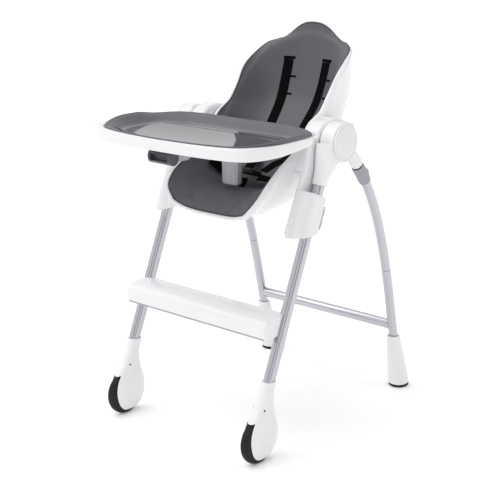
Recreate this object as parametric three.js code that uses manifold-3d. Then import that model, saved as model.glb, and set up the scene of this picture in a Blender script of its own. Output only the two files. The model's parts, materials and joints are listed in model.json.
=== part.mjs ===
// Folding baby high chair: two straight front legs on teardrop castors, two curved rear legs that
// fold under the hubs, a seat bucket carried by two height carriages, a tray and a footrest.
//
// Millimetres, +Z up, the child faces -Y, and +X is on the right of someone who faces the child.
// Pieces that come in pairs are drawn once on the +X side and mirrored. Inside this file Y and Z are
// measured from a working origin on the floor, and the whole chair is then shifted by CENTRE_SHIFT so
// that the part's origin is the middle of its footprint.

import * as THREE from 'three';
import { mergeVertices } from 'three/addons/utils/BufferGeometryUtils.js';
import Module from 'manifold-3d';

const wasm = await Module();
wasm.setup();

// ---------------------------------------------------------------- driving dimensions

const GAP = 0.3;
const SLIVER = 0.04;
const CENTRE_SHIFT = 50.7;

const LEG_X = 239;
const LEG_FOOT = { y: -298, z: 208 };
const LEG_LEAN = 0.4227;
const LEG_BOTTOM = 165;
const LEG_TOP = 722;
const LEG_HALF_WIDTH = 13.5;
const LEG_HALF_DEPTH = 15;
const LEG_SIDES = 16;
const TUBE_WALL = 2;

const HUB = { y: -35, z: 775, radius: 51, inner: 223, outer: 267 };
const HUB_SLOT = { inner: 227, outer: 254 };
const HUB_PIN_RADIUS = 6;
const CAP = { radius: 49, inner: 267.3, outer: 273.5 };
const SLEEVE_BOTTOM = 672;

const WHEEL = { y: -340, radius: 60, width: 23, hubRadius: 37 };
const CASTOR_X = 238;
const CASTOR_SLOT_WIDTH = 25;
const CASTOR_SCREW = { y: -335, z: 143, radius: 3 };
const AXLE_RADIUS = 4;

const REAR_X = 240.5;
const REAR_RADIUS = 13;
const REAR_PATH = [[62, 698], [184, 566], [222, 370], [271, 165]];
const REAR_ARM_PATH = [[-35, 775], [12, 754], [40, 729], [62, 698]];
const REAR_FOOT = { top: 165, radiusTop: 18, radiusBottom: 27.5, sole: 9 };
const REAR_LEAN = -0.24;
const CROSSBAR = { y: 264, z: 199, radius: 14 };

const FOOTREST = { halfWidth: 254, front: -318, rear: -222 };

const CARRIAGE = { inner: 207, outer: 221, blockOuter: 261, bottom: 556, blockTop: 650 };
const ARM = { inner: 173, front: -86, rear: 86, bottom: 770, top: 829 };
const PIVOT = { y: -120, z: 700, radius: 6 };

const TRAY = { bottom: 781, top: 811, rim: 5 };
const TONGUE = { inner: 184, outer: 206, bottom: 786, top: 800, front: -128, rear: 36 };
const POST = { y: -159, halfWidth: 28, halfDepth: 13, bottom: 652 };

const PAD_THICKNESS = 8;
const TUB_THICKNESS = 3;
const SHELL_WALL = 3.5;
const NORMAL_WEIGHT = 0.5;
const WEBBING = { width: 25, thickness: 2.4 };

// ---------------------------------------------------------------- materials

function plastic(colour, roughness) {
  return new THREE.MeshStandardMaterial({ color: colour, roughness, metalness: 0 });
}

function metal(colour, roughness) {
  return new THREE.MeshStandardMaterial({ color: colour, roughness, metalness: 1 });
}

const whiteGloss = plastic(0xf2f2f3, 0.25);
const capGrey = plastic(0xd8d8da, 0.35);
const collarGrey = plastic(0x9a9aa0, 0.45);
const postGrey = plastic(0xa9a9ad, 0.4);
const leverGrey = plastic(0x55565b, 0.4);
const trayGrey = plastic(0x6d6d73, 0.3);
const padGrey = plastic(0x54555a, 0.6);
const webbingBlack = plastic(0x121214, 0.85);
const tyreBlack = plastic(0x1c1c1e, 0.7);
const buckleBlack = plastic(0x1a1a1c, 0.4);
const satinSilver = metal(0xc9c9d2, 0.35);
const steel = metal(0x9c9ca0, 0.3);

// ---------------------------------------------------------------- geometry helpers

// Merges the vertices that lie together and leaves out the triangles that this closes up.
function weld(geometry) {
  const bare = geometry.clone();
  bare.deleteAttribute('normal');
  bare.deleteAttribute('uv');
  const merged = mergeVertices(bare, 1e-3);
  const faces = [];
  for (let i = 0; i < merged.index.count; i += 3) {
    const [a, b, c] = [0, 1, 2].map((k) => merged.index.getX(i + k));
    if (a !== b && b !== c && a !== c) faces.push(a, b, c);
  }
  merged.setIndex(faces);
  return merged;
}

function pointsOf(geometry) {
  const position = geometry.attributes.position;
  return Array.from({ length: position.count }, (_, i) => (
    new THREE.Vector3().fromBufferAttribute(position, i)));
}

function solid(geometry) {
  const welded = weld(geometry);
  return new wasm.Manifold(new wasm.Mesh({
    numProp: 3,
    vertProperties: new Float32Array(welded.attributes.position.array),
    triVerts: new Uint32Array(welded.index.array),
  }));
}

// The slivers that a cut leaves along an edge are closed up.
function geometryOf(manifold) {
  const result = manifold.simplify(SLIVER).getMesh();
  return meshGeometry(result.vertProperties, result.triVerts);
}

function meshGeometry(positions, index) {
  const geometry = new THREE.BufferGeometry();
  geometry.setAttribute('position', new THREE.BufferAttribute(new Float32Array(positions), 3));
  geometry.setIndex(new THREE.BufferAttribute(new Uint32Array(index), 1));
  return geometry;
}

function cut(body, ...tools) {
  return geometryOf(tools.reduce((left, tool) => left.subtract(solid(tool)), solid(body)));
}

function join(first, ...others) {
  return geometryOf(others.reduce((sum, other) => sum.add(solid(other)), solid(first)));
}

function signedVolume(points, index) {
  let volume = 0;
  for (let i = 0; i < index.length; i += 3) {
    const [a, b, c] = [points[index[i]], points[index[i + 1]], points[index[i + 2]]];
    volume += a.dot(new THREE.Vector3().crossVectors(b, c)) / 6;
  }
  return volume;
}

// A closed geometry from points and triangles, turned so that its faces point out.
function closedGeometry(points, index) {
  const facing = signedVolume(points, index) < 0 ? index.slice().reverse() : index;
  return meshGeometry(points.flatMap((p) => p.toArray()), facing);
}

function ringCentre(ring) {
  return ring.reduce((sum, p) => sum.add(p), new THREE.Vector3()).divideScalar(ring.length);
}

// Skins a list of rings of equal length. An open skin is capped at both ends, and a looped one
// joins its last ring to its first, which makes a hollow tube.
function skin(rings, looped = false) {
  const count = rings[0].length;
  const points = rings.flat();
  const index = [];
  const bands = looped ? rings.length : rings.length - 1;
  for (let i = 0; i < bands; i++) {
    const low = i * count;
    const high = ((i + 1) % rings.length) * count;
    for (let j = 0; j < count; j++) {
      const k = (j + 1) % count;
      index.push(low + j, low + k, high + k, low + j, high + k, high + j);
    }
  }
  if (!looped) {
    const ends = [[0, true], [(rings.length - 1) * count, false]];
    for (const [start, flip] of ends) {
      const centre = points.length;
      points.push(ringCentre(points.slice(start, start + count)));
      for (let j = 0; j < count; j++) {
        const k = (j + 1) % count;
        if (flip) index.push(centre, start + k, start + j);
        else index.push(centre, start + j, start + k);
      }
    }
  }
  return closedGeometry(points, index);
}

// Points of an ellipse, or of a squarer outline when power is over 2.
function oval(halfU, halfV, count, power = 2) {
  return Array.from({ length: count }, (_, i) => {
    const angle = ((i + 0.5) / count) * 2 * Math.PI;
    const c = Math.cos(angle);
    const s = Math.sin(angle);
    return [
      halfU * Math.sign(c) * Math.abs(c) ** (2 / power),
      halfV * Math.sign(s) * Math.abs(s) ** (2 / power),
    ];
  });
}

// Corners are [u, v] or [u, v, radius], and each radius rounds its corner by no more than its
// neighbours leave room for.
function outline(corners) {
  const shape = new THREE.Shape();
  const last = corners.length;
  corners.forEach(([u, v, radius = 0], i) => {
    const corner = new THREE.Vector2(u, v);
    const before = new THREE.Vector2(...corners[(i + last - 1) % last]);
    const after = new THREE.Vector2(...corners[(i + 1) % last]);
    const room = 0.48 * Math.min(before.distanceTo(corner), after.distanceTo(corner));
    const reach = Math.min(radius, room);
    const arrive = before.sub(corner).setLength(reach).add(corner);
    const leave = after.sub(corner).setLength(reach).add(corner);
    if (i === 0) shape.moveTo(arrive.x, arrive.y);
    else shape.lineTo(arrive.x, arrive.y);
    if (radius > 0) shape.quadraticCurveTo(u, v, leave.x, leave.y);
  });
  shape.closePath();
  return shape;
}

const X_AXIS = new THREE.Vector3(1, 0, 0);
const Y_AXIS = new THREE.Vector3(0, 1, 0);
const Z_AXIS = new THREE.Vector3(0, 0, 1);

function extruded(shape, depth, bevel, curveSegments) {
  return new THREE.ExtrudeGeometry(shape, {
    depth: depth - 2 * bevel,
    bevelEnabled: bevel > 0,
    bevelThickness: bevel,
    bevelSize: bevel,
    bevelOffset: -bevel,
    bevelSegments: 2,
    curveSegments,
  }).translate(0, 0, bevel);
}

// A plate whose outline lies in the YZ plane and whose thickness runs along X.
function sidePlate(corners, xFrom, xTo, bevel = 0, curveSegments = 4) {
  const geometry = extruded(outline(corners), xTo - xFrom, bevel, curveSegments);
  geometry.applyMatrix4(new THREE.Matrix4().makeBasis(Y_AXIS, Z_AXIS, X_AXIS));
  return geometry.translate(xFrom, 0, 0);
}

function box(x, y, z) {
  const geometry = new THREE.BoxGeometry(x[1] - x[0], y[1] - y[0], z[1] - z[0]);
  return geometry.translate((x[0] + x[1]) / 2, (y[0] + y[1]) / 2, (z[0] + z[1]) / 2);
}

function barX(y, z, radius, xFrom, xTo, sides = 20) {
  const geometry = new THREE.CylinderGeometry(radius, radius, xTo - xFrom, sides);
  return geometry.rotateZ(Math.PI / 2).translate((xFrom + xTo) / 2, y, z);
}

// A turned piece on an X axis, from a profile of [radius, x] points.
function turnedX(y, z, profile, sides = 28) {
  const points = profile.map(([radius, x]) => new THREE.Vector2(radius, x));
  const lathe = new THREE.LatheGeometry(points, sides).rotateZ(-Math.PI / 2).translate(0, y, z);
  const welded = weld(lathe);
  return closedGeometry(pointsOf(welded), Array.from(welded.index.array));
}

function mirrored(geometry) {
  const welded = weld(geometry);
  const points = pointsOf(welded).map((p) => p.setX(-p.x));
  return closedGeometry(points, Array.from(welded.index.array));
}

// ---------------------------------------------------------------- assembly helpers

const chair = new THREE.Group();
chair.position.set(0, CENTRE_SHIFT, 0);

function add(name, geometry, material, parent) {
  const mesh = new THREE.Mesh(geometry, material);
  mesh.name = name;
  parent.add(mesh);
}

function addPair(name, geometry, material, parent) {
  add(`${name}_right`, geometry, material, parent);
  add(`${name}_left`, mirrored(geometry), material, parent);
}

function group() {
  const child = new THREE.Group();
  chair.add(child);
  return child;
}

// ---------------------------------------------------------------- leg-aligned frames

function legY(z) {
  return LEG_FOOT.y + (z - LEG_FOOT.z) * LEG_LEAN;
}

const LEG_ANGLE = Math.atan(LEG_LEAN);
const LEG_NORMAL = new THREE.Vector3(0, Math.cos(LEG_ANGLE), -Math.sin(LEG_ANGLE));

// A ring square to the front leg, whose centre is at height z on the leg's axis.
function legRing(section, z, x = LEG_X) {
  const centre = new THREE.Vector3(x, legY(z), z);
  return section.map(([u, v]) => centre.clone().addScaledVector(X_AXIS, u).addScaledVector(LEG_NORMAL, v));
}

// A straight bar along the front leg between two heights on its axis.
function legBar(section, zLow, zHigh, x = LEG_X) {
  return skin([legRing(section, zLow, x), legRing(section, zHigh, x)]);
}

function sectionOf(shape, segments = 5) {
  return shape.extractPoints(segments).shape.map((p) => [p.x, p.y]);
}

const legBore = (clearance, zLow, zHigh) => legBar(
  oval(LEG_HALF_WIDTH + clearance, LEG_HALF_DEPTH + clearance, LEG_SIDES), zLow, zHigh);

// ---------------------------------------------------------------- front legs and hubs

function frontLeg() {
  const outer = oval(LEG_HALF_WIDTH, LEG_HALF_DEPTH, LEG_SIDES);
  const inner = oval(LEG_HALF_WIDTH - TUBE_WALL, LEG_HALF_DEPTH - TUBE_WALL, LEG_SIDES);
  return skin([
    legRing(outer, LEG_BOTTOM),
    legRing(outer, LEG_TOP),
    legRing(inner, LEG_TOP),
    legRing(inner, LEG_BOTTOM),
  ], true);
}

// One rounded drum round the hub pin, a sleeve down the front leg, and a slot for the rear arm.
function hubHousing() {
  const drum = turnedX(HUB.y, HUB.z, [
    [0, HUB.inner],
    [HUB.radius - 4, HUB.inner],
    [HUB.radius, HUB.inner + 4],
    [HUB.radius, HUB.outer - 3],
    [HUB.radius - 3, HUB.outer],
    [0, HUB.outer],
  ], 24);
  const reach = HUB.inner - LEG_X;
  const half = 27;
  const section = sectionOf(outline([
    [reach, -half, 3], [8, -half, 12], [half, -half, 18], [half, 23, 18], [8, 23, 12], [reach, 23, 3],
  ]), 2);
  const sleeve = skin([legRing(section, SLEEVE_BOTTOM), legRing(section, HUB.z + 8)]);
  const fillet = sidePlate([
    [HUB.y - 30, HUB.z - 20], [HUB.y + 32, HUB.z - 34], [HUB.y + 1, HUB.z - 58, 30], [-80, 694],
  ], HUB.inner, HUB.outer, 0, 3);
  const armSweep = sidePlate([
    [HUB.y - 2, HUB.z + 19, 16], [HUB.y + 20, HUB.z + 16, 16], [HUB.y + 110, HUB.z - 22],
    [HUB.y + 90, HUB.z - 130], [HUB.y - 4, HUB.z - 130], [HUB.y - 19, HUB.z - 10, 12],
  ], HUB_SLOT.inner, HUB_SLOT.outer, 0, 3);
  const eyeRoom = barX(HUB.y, HUB.z, 25, HUB_SLOT.inner, HUB_SLOT.outer, 18);
  const pinHole = barX(HUB.y, HUB.z, HUB_PIN_RADIUS + GAP, HUB.inner + 2, HUB.outer + 10, 12);
  return cut(join(drum, sleeve, fillet), join(armSweep, eyeRoom), legBore(GAP, 600, LEG_TOP + 2), pinHole);
}

function hubCap() {
  return turnedX(HUB.y, HUB.z, [
    [0, CAP.inner],
    [CAP.radius, CAP.inner],
    [CAP.radius, CAP.outer - 1.5],
    [CAP.radius - 1.5, CAP.outer],
    [CAP.radius - 4.5, CAP.outer],
    [CAP.radius - 5.5, CAP.outer - 1],
    [0, CAP.outer - 0.6],
  ], 32);
}

function hubPin() {
  return barX(HUB.y, HUB.z, HUB_PIN_RADIUS, HUB.inner + 2 + GAP, HUB.outer - 0.5, 12);
}

// ---------------------------------------------------------------- castors

// Height, centre of the section along Y, half length along Y, half width along X.
const POD_SECTIONS = [
  [8, -331, 20, 9], [13, -331, 34, 15], [26, -330, 46, 19.5], [46, -329, 54, 22], [72, -329, 56.5, 22.5],
  [98, -328.5, 51.5, 22.5], [122, -325, 42, 21.5], [146, -318, 30, 19.5],
  [172, -309.5, 20.5, 17.4], [204, -299.5, 18, 16.5],
];

function castorHousing() {
  const rings = POD_SECTIONS.map(([z, y, halfLength, halfWidth]) => (
    oval(halfWidth, halfLength, 12, 2.3).map(([u, v]) => new THREE.Vector3(CASTOR_X + u, y + v, z))));
  const half = CASTOR_SLOT_WIDTH / 2;
  const wheelRoom = barX(WHEEL.y, WHEEL.radius, WHEEL.radius + 1.5, CASTOR_X - half, CASTOR_X + half, 22);
  const axleHole = barX(WHEEL.y, WHEEL.radius, AXLE_RADIUS + GAP, CASTOR_X - 19.5, CASTOR_X + 19.5, 12);
  const screwHole = barX(
    CASTOR_SCREW.y, CASTOR_SCREW.z, CASTOR_SCREW.radius + GAP, CASTOR_X - 30, CASTOR_X - 14.7, 12);
  return cut(skin(rings), wheelRoom, axleHole, screwHole, legBore(GAP, LEG_BOTTOM - 2, 240));
}

// A solid tyre whose tread is a half circle.
function tyre() {
  const { radius, width, hubRadius } = WHEEL;
  const half = width / 2;
  const tread = Array.from({ length: 5 }, (_, i) => {
    const angle = (i / 4 - 0.5) * Math.PI;
    return [radius - half + half * Math.cos(angle), half * Math.sin(angle)];
  });
  return turnedX(WHEEL.y, radius, [
    [hubRadius, -half], ...tread, [hubRadius, half], [hubRadius, -half],
  ], 24).translate(CASTOR_X, 0, 0);
}

function wheelHub() {
  const half = WHEEL.width / 2;
  const outer = WHEEL.hubRadius - GAP;
  const bore = AXLE_RADIUS + GAP;
  return turnedX(WHEEL.y, WHEEL.radius, [
    [bore, -half], [11, -half], [13, -4], [outer - 5, -4], [outer, -half + 1],
    [outer, half - 1], [outer - 5, 4], [13, 4], [11, half], [bore, half], [bore, -half],
  ], 18).translate(CASTOR_X, 0, 0);
}

function castorScrew() {
  return barX(CASTOR_SCREW.y, CASTOR_SCREW.z, CASTOR_SCREW.radius, CASTOR_X - 16.7, CASTOR_X - 15, 12);
}

function castorAxle() {
  return barX(WHEEL.y, WHEEL.radius, AXLE_RADIUS, CASTOR_X - 19.2, CASTOR_X + 19.2, 12);
}

// ---------------------------------------------------------------- footrest

// A rounded board across both legs. Its ends clip round the front of each tube.
function footrest() {
  const { halfWidth, front, rear } = FOOTREST;
  const board = sidePlate([
    [front + 5, 347, 12], [front, 329, 10], [front + 12, 313, 8], [-286, 316, 10], [-262, 327, 12],
    [rear - 4, 335, 6], [rear, 371, 7], [-268, 367, 20],
  ], -halfWidth, halfWidth, 3, 3);
  const tools = [];
  for (const side of [-1, 1]) {
    const clip = oval(LEG_HALF_WIDTH + 0.6, LEG_HALF_DEPTH + 0.6, LEG_SIDES);
    tools.push(legBar(clip, 290, 400, side * LEG_X));
    const inner = LEG_X - LEG_HALF_WIDTH - 4.6;
    const behind = outline([
      [Math.min(side * inner, side * 300), 3.2], [Math.max(side * inner, side * 300), 3.2],
      [Math.max(side * inner, side * 300), 60], [Math.min(side * inner, side * 300), 60],
    ]);
    tools.push(legBar(sectionOf(behind), 290, 400, 0));
  }
  return cut(board, ...tools);
}

// ---------------------------------------------------------------- rear frame

const rearCurve = new THREE.CubicBezierCurve3(
  ...REAR_PATH.map(([y, z]) => new THREE.Vector3(REAR_X, y, z)));
const REAR_SEAM = 0.645;
const SPIGOT_START = 0.55;
const SPIGOT_RADIUS = REAR_RADIUS - TUBE_WALL - 0.7;
const TUBE_SIDES = 12;

// Rings square to the rear leg's curve between two stations on it.
function rearRings(section, from, to, steps) {
  return Array.from({ length: steps + 1 }, (_, i) => {
    const at = from + ((to - from) * i) / steps;
    const centre = rearCurve.getPoint(at);
    const along = rearCurve.getTangent(Math.max(at, 0));
    const across = new THREE.Vector3().crossVectors(along, X_AXIS).normalize();
    return section.map(([u, v]) => centre.clone().addScaledVector(X_AXIS, u).addScaledVector(across, v));
  });
}

function rearTube(radius, wall, from, to, steps, sides = TUBE_SIDES) {
  const outer = rearRings(oval(radius, radius, sides), from, to, steps);
  const inner = rearRings(oval(radius - wall, radius - wall, sides), to, from, steps);
  return skin([...outer, ...inner], true);
}

function rearLegUpper() {
  return rearTube(REAR_RADIUS, TUBE_WALL, 0.005, REAR_SEAM, 7);
}

// The lower tube ends in a thinner spigot that slides up into the upper tube.
function rearLegLower() {
  const sides = oval(1, 1, TUBE_SIDES);
  const scaled = (r) => sides.map(([u, v]) => [u * r, v * r]);
  const seam = REAR_SEAM + 0.001;
  const footEnd = straightFoot(60, scaled(REAR_RADIUS));
  const footEndInner = straightFoot(60, scaled(REAR_RADIUS - TUBE_WALL));
  return skin([
    ...rearRings(scaled(SPIGOT_RADIUS), SPIGOT_START, seam, 2),
    ...rearRings(scaled(REAR_RADIUS), seam, 0.99, 4),
    footEnd,
    footEndInner,
    ...rearRings(scaled(REAR_RADIUS - TUBE_WALL), 0.99, seam + 0.02, 4),
    ...rearRings(scaled(SPIGOT_RADIUS - TUBE_WALL), seam, SPIGOT_START, 2),
  ], true);
}

// A ring on the straight last stretch of the rear leg, square to that stretch, at height z.
function straightFoot(z, section) {
  const end = rearCurve.getPoint(1);
  const centre = new THREE.Vector3(REAR_X, end.y + (z - end.z) * REAR_LEAN, z);
  const along = new THREE.Vector3(0, REAR_LEAN, 1).normalize();
  const across = new THREE.Vector3().crossVectors(X_AXIS, along).normalize();
  return section.map(([u, v]) => centre.clone().addScaledVector(X_AXIS, u).addScaledVector(across, v));
}

// The bar between the rear legs, with its ends shaped to the round of each tube.
function crossbar() {
  const ring = (radius, x) => oval(radius, radius, 18).map(([u, v]) => (
    new THREE.Vector3(x, CROSSBAR.y + u, CROSSBAR.z + v)));
  const inner = CROSSBAR.radius - TUBE_WALL;
  const reach = REAR_X - 5;
  const bar = skin([ring(CROSSBAR.radius, -reach), ring(CROSSBAR.radius, reach), ring(inner, reach), ring(inner, -reach)], true);
  const legRoom = skin(rearRings(oval(REAR_RADIUS + 0.6, REAR_RADIUS + 0.6, TUBE_SIDES), 0.8, 0.99, 2));
  return cut(bar, legRoom, mirrored(legRoom));
}

// A level ring of the rear boot at height z.
function bootRing(z, halfX, halfY) {
  const end = rearCurve.getPoint(1);
  const y = end.y + (z - end.z) * REAR_LEAN;
  return oval(halfX, halfY, 16, 2.2).map(([u, v]) => new THREE.Vector3(REAR_X + u, y + v, z));
}

function rearFoot() {
  const { top, radiusTop, radiusBottom, sole } = REAR_FOOT;
  const body = skin([
    bootRing(sole + GAP, radiusBottom, radiusBottom + 3),
    bootRing(sole + 14, radiusBottom, radiusBottom + 3),
    bootRing(70, radiusBottom - 2, radiusBottom),
    bootRing(120, radiusBottom - 6, radiusBottom - 4.5),
    bootRing(top - 4, radiusTop + 0.5, radiusTop + 1),
    bootRing(top, radiusTop - 1, radiusTop - 0.5),
  ]);
  const section = oval(REAR_RADIUS + 0.6, REAR_RADIUS + 0.6, TUBE_SIDES);
  const bore = skin([straightFoot(58, section), straightFoot(230, section)]);
  return cut(body, bore);
}

function rearSole() {
  const { radiusBottom, sole } = REAR_FOOT;
  return skin([
    bootRing(0, radiusBottom - 2, radiusBottom + 1),
    bootRing(2, radiusBottom - 0.5, radiusBottom + 2.5),
    bootRing(sole, radiusBottom - 0.5, radiusBottom + 2.5),
  ]);
}

// The arm that turns in the hub's slot and takes the rear tube in its lower end.
function rearSocket() {
  const half = 12.8;
  const eye = barX(HUB.y, HUB.z, 23, REAR_X - half, REAR_X + half, 18);
  const path = new THREE.CubicBezierCurve3(
    ...REAR_ARM_PATH.map(([y, z]) => new THREE.Vector3(REAR_X, y, z)));
  const ringAt = (t, a, b) => {
    const across = new THREE.Vector3().crossVectors(path.getTangent(t), X_AXIS).normalize();
    return oval(a, b, 12, 2.4).map(([u, v]) => (
      path.getPoint(t).addScaledVector(X_AXIS, u).addScaledVector(across, v)));
  };
  const arm = skin([
    ringAt(0, half, 19), ringAt(0.3, half, 18), ringAt(0.5, half, 17), ringAt(0.7, 14.5, 16), ringAt(0.985, 16, 16),
  ]);
  const spigot = skin(rearRings(oval(SPIGOT_RADIUS, SPIGOT_RADIUS, TUBE_SIDES), -0.02, 0.1, 3));
  const pinHole = barX(HUB.y, HUB.z, HUB_PIN_RADIUS + GAP, REAR_X - 20, REAR_X + 20, 12);
  return cut(join(eye, arm, spigot), pinHole);
}

// The grey collar that covers the joint of socket and tube and holds the fold release button.
const COLLAR = { from: 0.004, to: 0.118, radius: 17.2 };

function foldCollar() {
  const section = oval(COLLAR.radius, COLLAR.radius, 18);
  const slim = oval(COLLAR.radius - 1.2, COLLAR.radius - 1.2, 18);
  const bore = oval(REAR_RADIUS + 0.8, REAR_RADIUS + 0.8, 18);
  const { from, to } = COLLAR;
  const barrel = skin([
    ...rearRings(section, from, to - 0.012, 3),
    ...rearRings(slim, to - 0.002, to, 1),
    ...rearRings(bore, to, from, 3),
  ], true);
  return cut(barrel, buttonBar(8 + GAP, REAR_RADIUS + 0.8, 40));
}

// A short round bar that stands out of the underside of the collar.
function buttonBar(radius, from, to) {
  const at = rearCurve.getPoint(0.075);
  const along = rearCurve.getTangent(0.075);
  const out = new THREE.Vector3().crossVectors(X_AXIS, along).normalize();
  const ring = (distance) => oval(radius, radius, 14).map(([u, v]) => (
    at.clone().addScaledVector(out, distance).addScaledVector(X_AXIS, u).addScaledVector(along, v)));
  return skin([ring(from), ring(to)]);
}

// The spring stud that locks the two halves of a rear leg: it stands on the lower tube's spigot.
function snapStud() {
  const at = rearCurve.getPoint(0.575);
  const along = rearCurve.getTangent(0.575);
  const out = new THREE.Vector3().crossVectors(X_AXIS, along).normalize();
  const ring = (radius, distance) => oval(radius, radius, 10).map(([u, v]) => (
    at.clone().addScaledVector(out, distance).addScaledVector(X_AXIS, u).addScaledVector(along, v)));
  return { stud: skin([ring(3, 10.8), ring(3, 13), ring(2, 14)]), hole: skin([ring(3 + GAP, 7), ring(3 + GAP, 20)]) };
}

// ---------------------------------------------------------------- height carriages

function carriage() {
  const plate = sidePlate([
    [-208, 560], [-121, 743, 30], [-113, 790], [-20, 795], [-34, 730, 30], [-112, 590],
  ], CARRIAGE.inner, CARRIAGE.outer, 0, 2);
  const arm = sidePlate([
    [ARM.front, ARM.bottom, 12], [ARM.rear - 22, ARM.bottom, 16], [ARM.rear, ARM.top - 28, 14],
    [26, ARM.top - 8, 30], [-10, ARM.top + 3, 24], [-58, ARM.top - 6, 26], [ARM.front + 2, ARM.top - 28, 20],
  ], ARM.inner, CARRIAGE.outer, 4, 2);
  const near = 213 - LEG_X;
  const far = CARRIAGE.blockOuter - LEG_X;
  const section = sectionOf(outline([
    [near, -55, 5], [near + 17, -56, 10], [far - 2, -36, 22], [far, -5, 12], [far, 21, 12], [near, 21, 5],
  ]), 2);
  const block = skin([legRing(section, 500), legRing(section, CARRIAGE.blockTop)]);
  const floor = box([150, 300], [-400, 100], [400, CARRIAGE.bottom]);
  const pocket = box(
    [TONGUE.inner - GAP, TONGUE.outer + GAP], [ARM.front - 30, TONGUE.rear + 8],
    [TONGUE.bottom - GAP, TONGUE.top + GAP]);
  const pivotHole = barX(PIVOT.y, PIVOT.z, PIVOT.radius + GAP, CARRIAGE.inner - 5, CARRIAGE.outer - 2, 14);
  return cut(
    join(plate, arm, block), floor, legBore(GAP, 480, 700), pocket, pivotHole, triggerBar(GAP, 16.5));
}

// The two-lobed squeeze trigger on the back of each carriage, drawn in the leg's own directions.
function triggerBar(clearance, from = 20) {
  const half = 9 + clearance;
  const rings = [[573, 22.5], [582, 25.5], [592, 26], [601, 24], [610, 26], [620, 25.5], [629, 22.5]];
  if (clearance > 0) return legBar([[13 - half, from], [13 + half, from], [13 + half, 40], [13 - half, 40]], 571, 631);
  return skin(rings.map(([z, out]) => legRing(
    [[13 - half, from], [13 + half, from], [13 + half, out - 2], [13 + half - 2, out], [13 - half + 2, out],
      [13 - half, out - 2]], z)));
}

function pivotPin() {
  return barX(PIVOT.y, PIVOT.z, PIVOT.radius, 172, CARRIAGE.outer - 2 - GAP, 14);
}

// ---------------------------------------------------------------- seat surfaces

// Each row runs across the seat: the middle point [y, z], the edge point [x, y, z], and the power
// that says how flat the middle is before the sides turn up to the edge.
const PAD_ROWS = [
  [[187, 1043], [108, 184, 996], 1.8],
  [[181, 1005], [136, 160, 981], 2.4],
  [[173, 965], [147, 118, 951], 3.2],
  [[163, 925], [153, 78, 921], 3.6],
  [[148, 880], [152, 46, 878], 3.8],
  [[128, 836], [152, 16, 840], 4],
  [[98, 797], [152, -10, 824], 4],
  [[60, 754], [151, -34, 810], 4],
  [[24, 708], [151, -66, 777], 4],
  [[-14, 664], [150, -94, 745], 4],
  [[-62, 640], [150, -121, 729], 4],
  [[-112, 634], [150, -152, 713], 4],
  [[-156, 639], [152, -187, 693], 4],
  [[-195, 632], [153, -217, 673], 3.6],
  [[-228, 611], [146, -244, 643], 3],
  [[-243, 593], [121, -252, 612], 4.2],
];

// The outer shell's middle point and power for the rows between its top and front edges.
const SHELL_ROWS = [
  [[212, 1004], 3], [[216, 962], 4.5], [[214, 918], 6], [[206, 870], 7], [[192, 822], 7], [[173, 776], 7],
  [[148, 728], 7], [[112, 680], 6.5], [[64, 636], 6], [[0, 602], 5.5], [[-70, 583], 5], [[-132, 577], 4.6],
  [[-184, 577], 4.2], [[-228, 581], 4],
];

function surfaceRow([middle, edge, power], columns) {
  return Array.from({ length: columns + 1 }, (_, j) => {
    const across = (j / columns) * 2 - 1;
    const spread = Math.sign(across) * Math.abs(Math.sin((across * Math.PI) / 2)) ** 0.85;
    const lift = Math.abs(spread) ** power;
    return new THREE.Vector3(
      edge[0] * spread,
      middle[0] + (edge[1] - middle[0]) * lift,
      middle[1] + (edge[2] - middle[1]) * lift,
    );
  });
}

// The grid's normals, evened out with their neighbours' so that a thick layer doesn't fold at a corner.
function gridNormals(grid) {
  const rows = grid.length;
  const columns = grid[0].length;
  const sharp = grid.map((row, i) => row.map((_, j) => {
    const along = grid[Math.min(i + 1, rows - 1)][j].clone().sub(grid[Math.max(i - 1, 0)][j]);
    const across = row[Math.min(j + 1, columns - 1)].clone().sub(row[Math.max(j - 1, 0)]);
    return new THREE.Vector3().crossVectors(across, along).normalize();
  }));
  return sharp.map((row, i) => row.map((normal, j) => {
    const sum = normal.clone().multiplyScalar(NORMAL_WEIGHT);
    for (const [di, dj] of [[-1, 0], [1, 0], [0, -1], [0, 1]]) sum.add(sharp[i + di]?.[j + dj] ?? normal);
    return sum.normalize();
  }));
}

function borderOf(grid) {
  const rows = grid.length - 1;
  const columns = grid[0].length - 1;
  const loop = [];
  for (let j = 0; j < columns; j++) loop.push([0, j]);
  for (let i = 0; i < rows; i++) loop.push([i, columns]);
  for (let j = columns; j > 0; j--) loop.push([rows, j]);
  for (let i = rows; i > 0; i--) loop.push([i, 0]);
  return loop;
}

// A closed skin made of a top grid, an edge profile of [outward, depth] steps and a bottom grid.
function layered(top, bottom, edgeRings) {
  const columns = top[0].length;
  const points = [...top.flat(), ...bottom.flat()];
  const offset = top.length * columns;
  const index = [];
  for (let i = 0; i < top.length - 1; i++) {
    for (let j = 0; j < columns - 1; j++) {
      const a = i * columns + j;
      const [b, c, d] = [a + 1, a + columns + 1, a + columns];
      const corners = j < (columns - 1) / 2 ? [a, b, c, a, c, d] : [b, c, d, b, d, a];
      index.push(...corners, ...corners.map((k) => offset + k).reverse());
    }
  }
  const border = borderOf(top).map(([i, j]) => i * columns + j);
  let previous = border;
  for (const ring of [...edgeRings, null]) {
    const start = points.length;
    if (ring) points.push(...ring);
    const next = ring ? ring.map((_, k) => start + k) : border.map((k) => k + offset);
    for (let k = 0; k < border.length; k++) {
      const n = (k + 1) % border.length;
      index.push(previous[k], next[k], next[n], previous[k], next[n], previous[n]);
    }
    previous = next;
  }
  return closedGeometry(points, index);
}

const COLUMNS = 8;
const padGrid = PAD_ROWS.map((row) => surfaceRow(row, COLUMNS));
const padNormals = gridNormals(padGrid);

function offsetGrid(distance) {
  return padGrid.map((row, i) => row.map((p, j) => p.clone().addScaledVector(padNormals[i][j], distance)));
}

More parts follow.
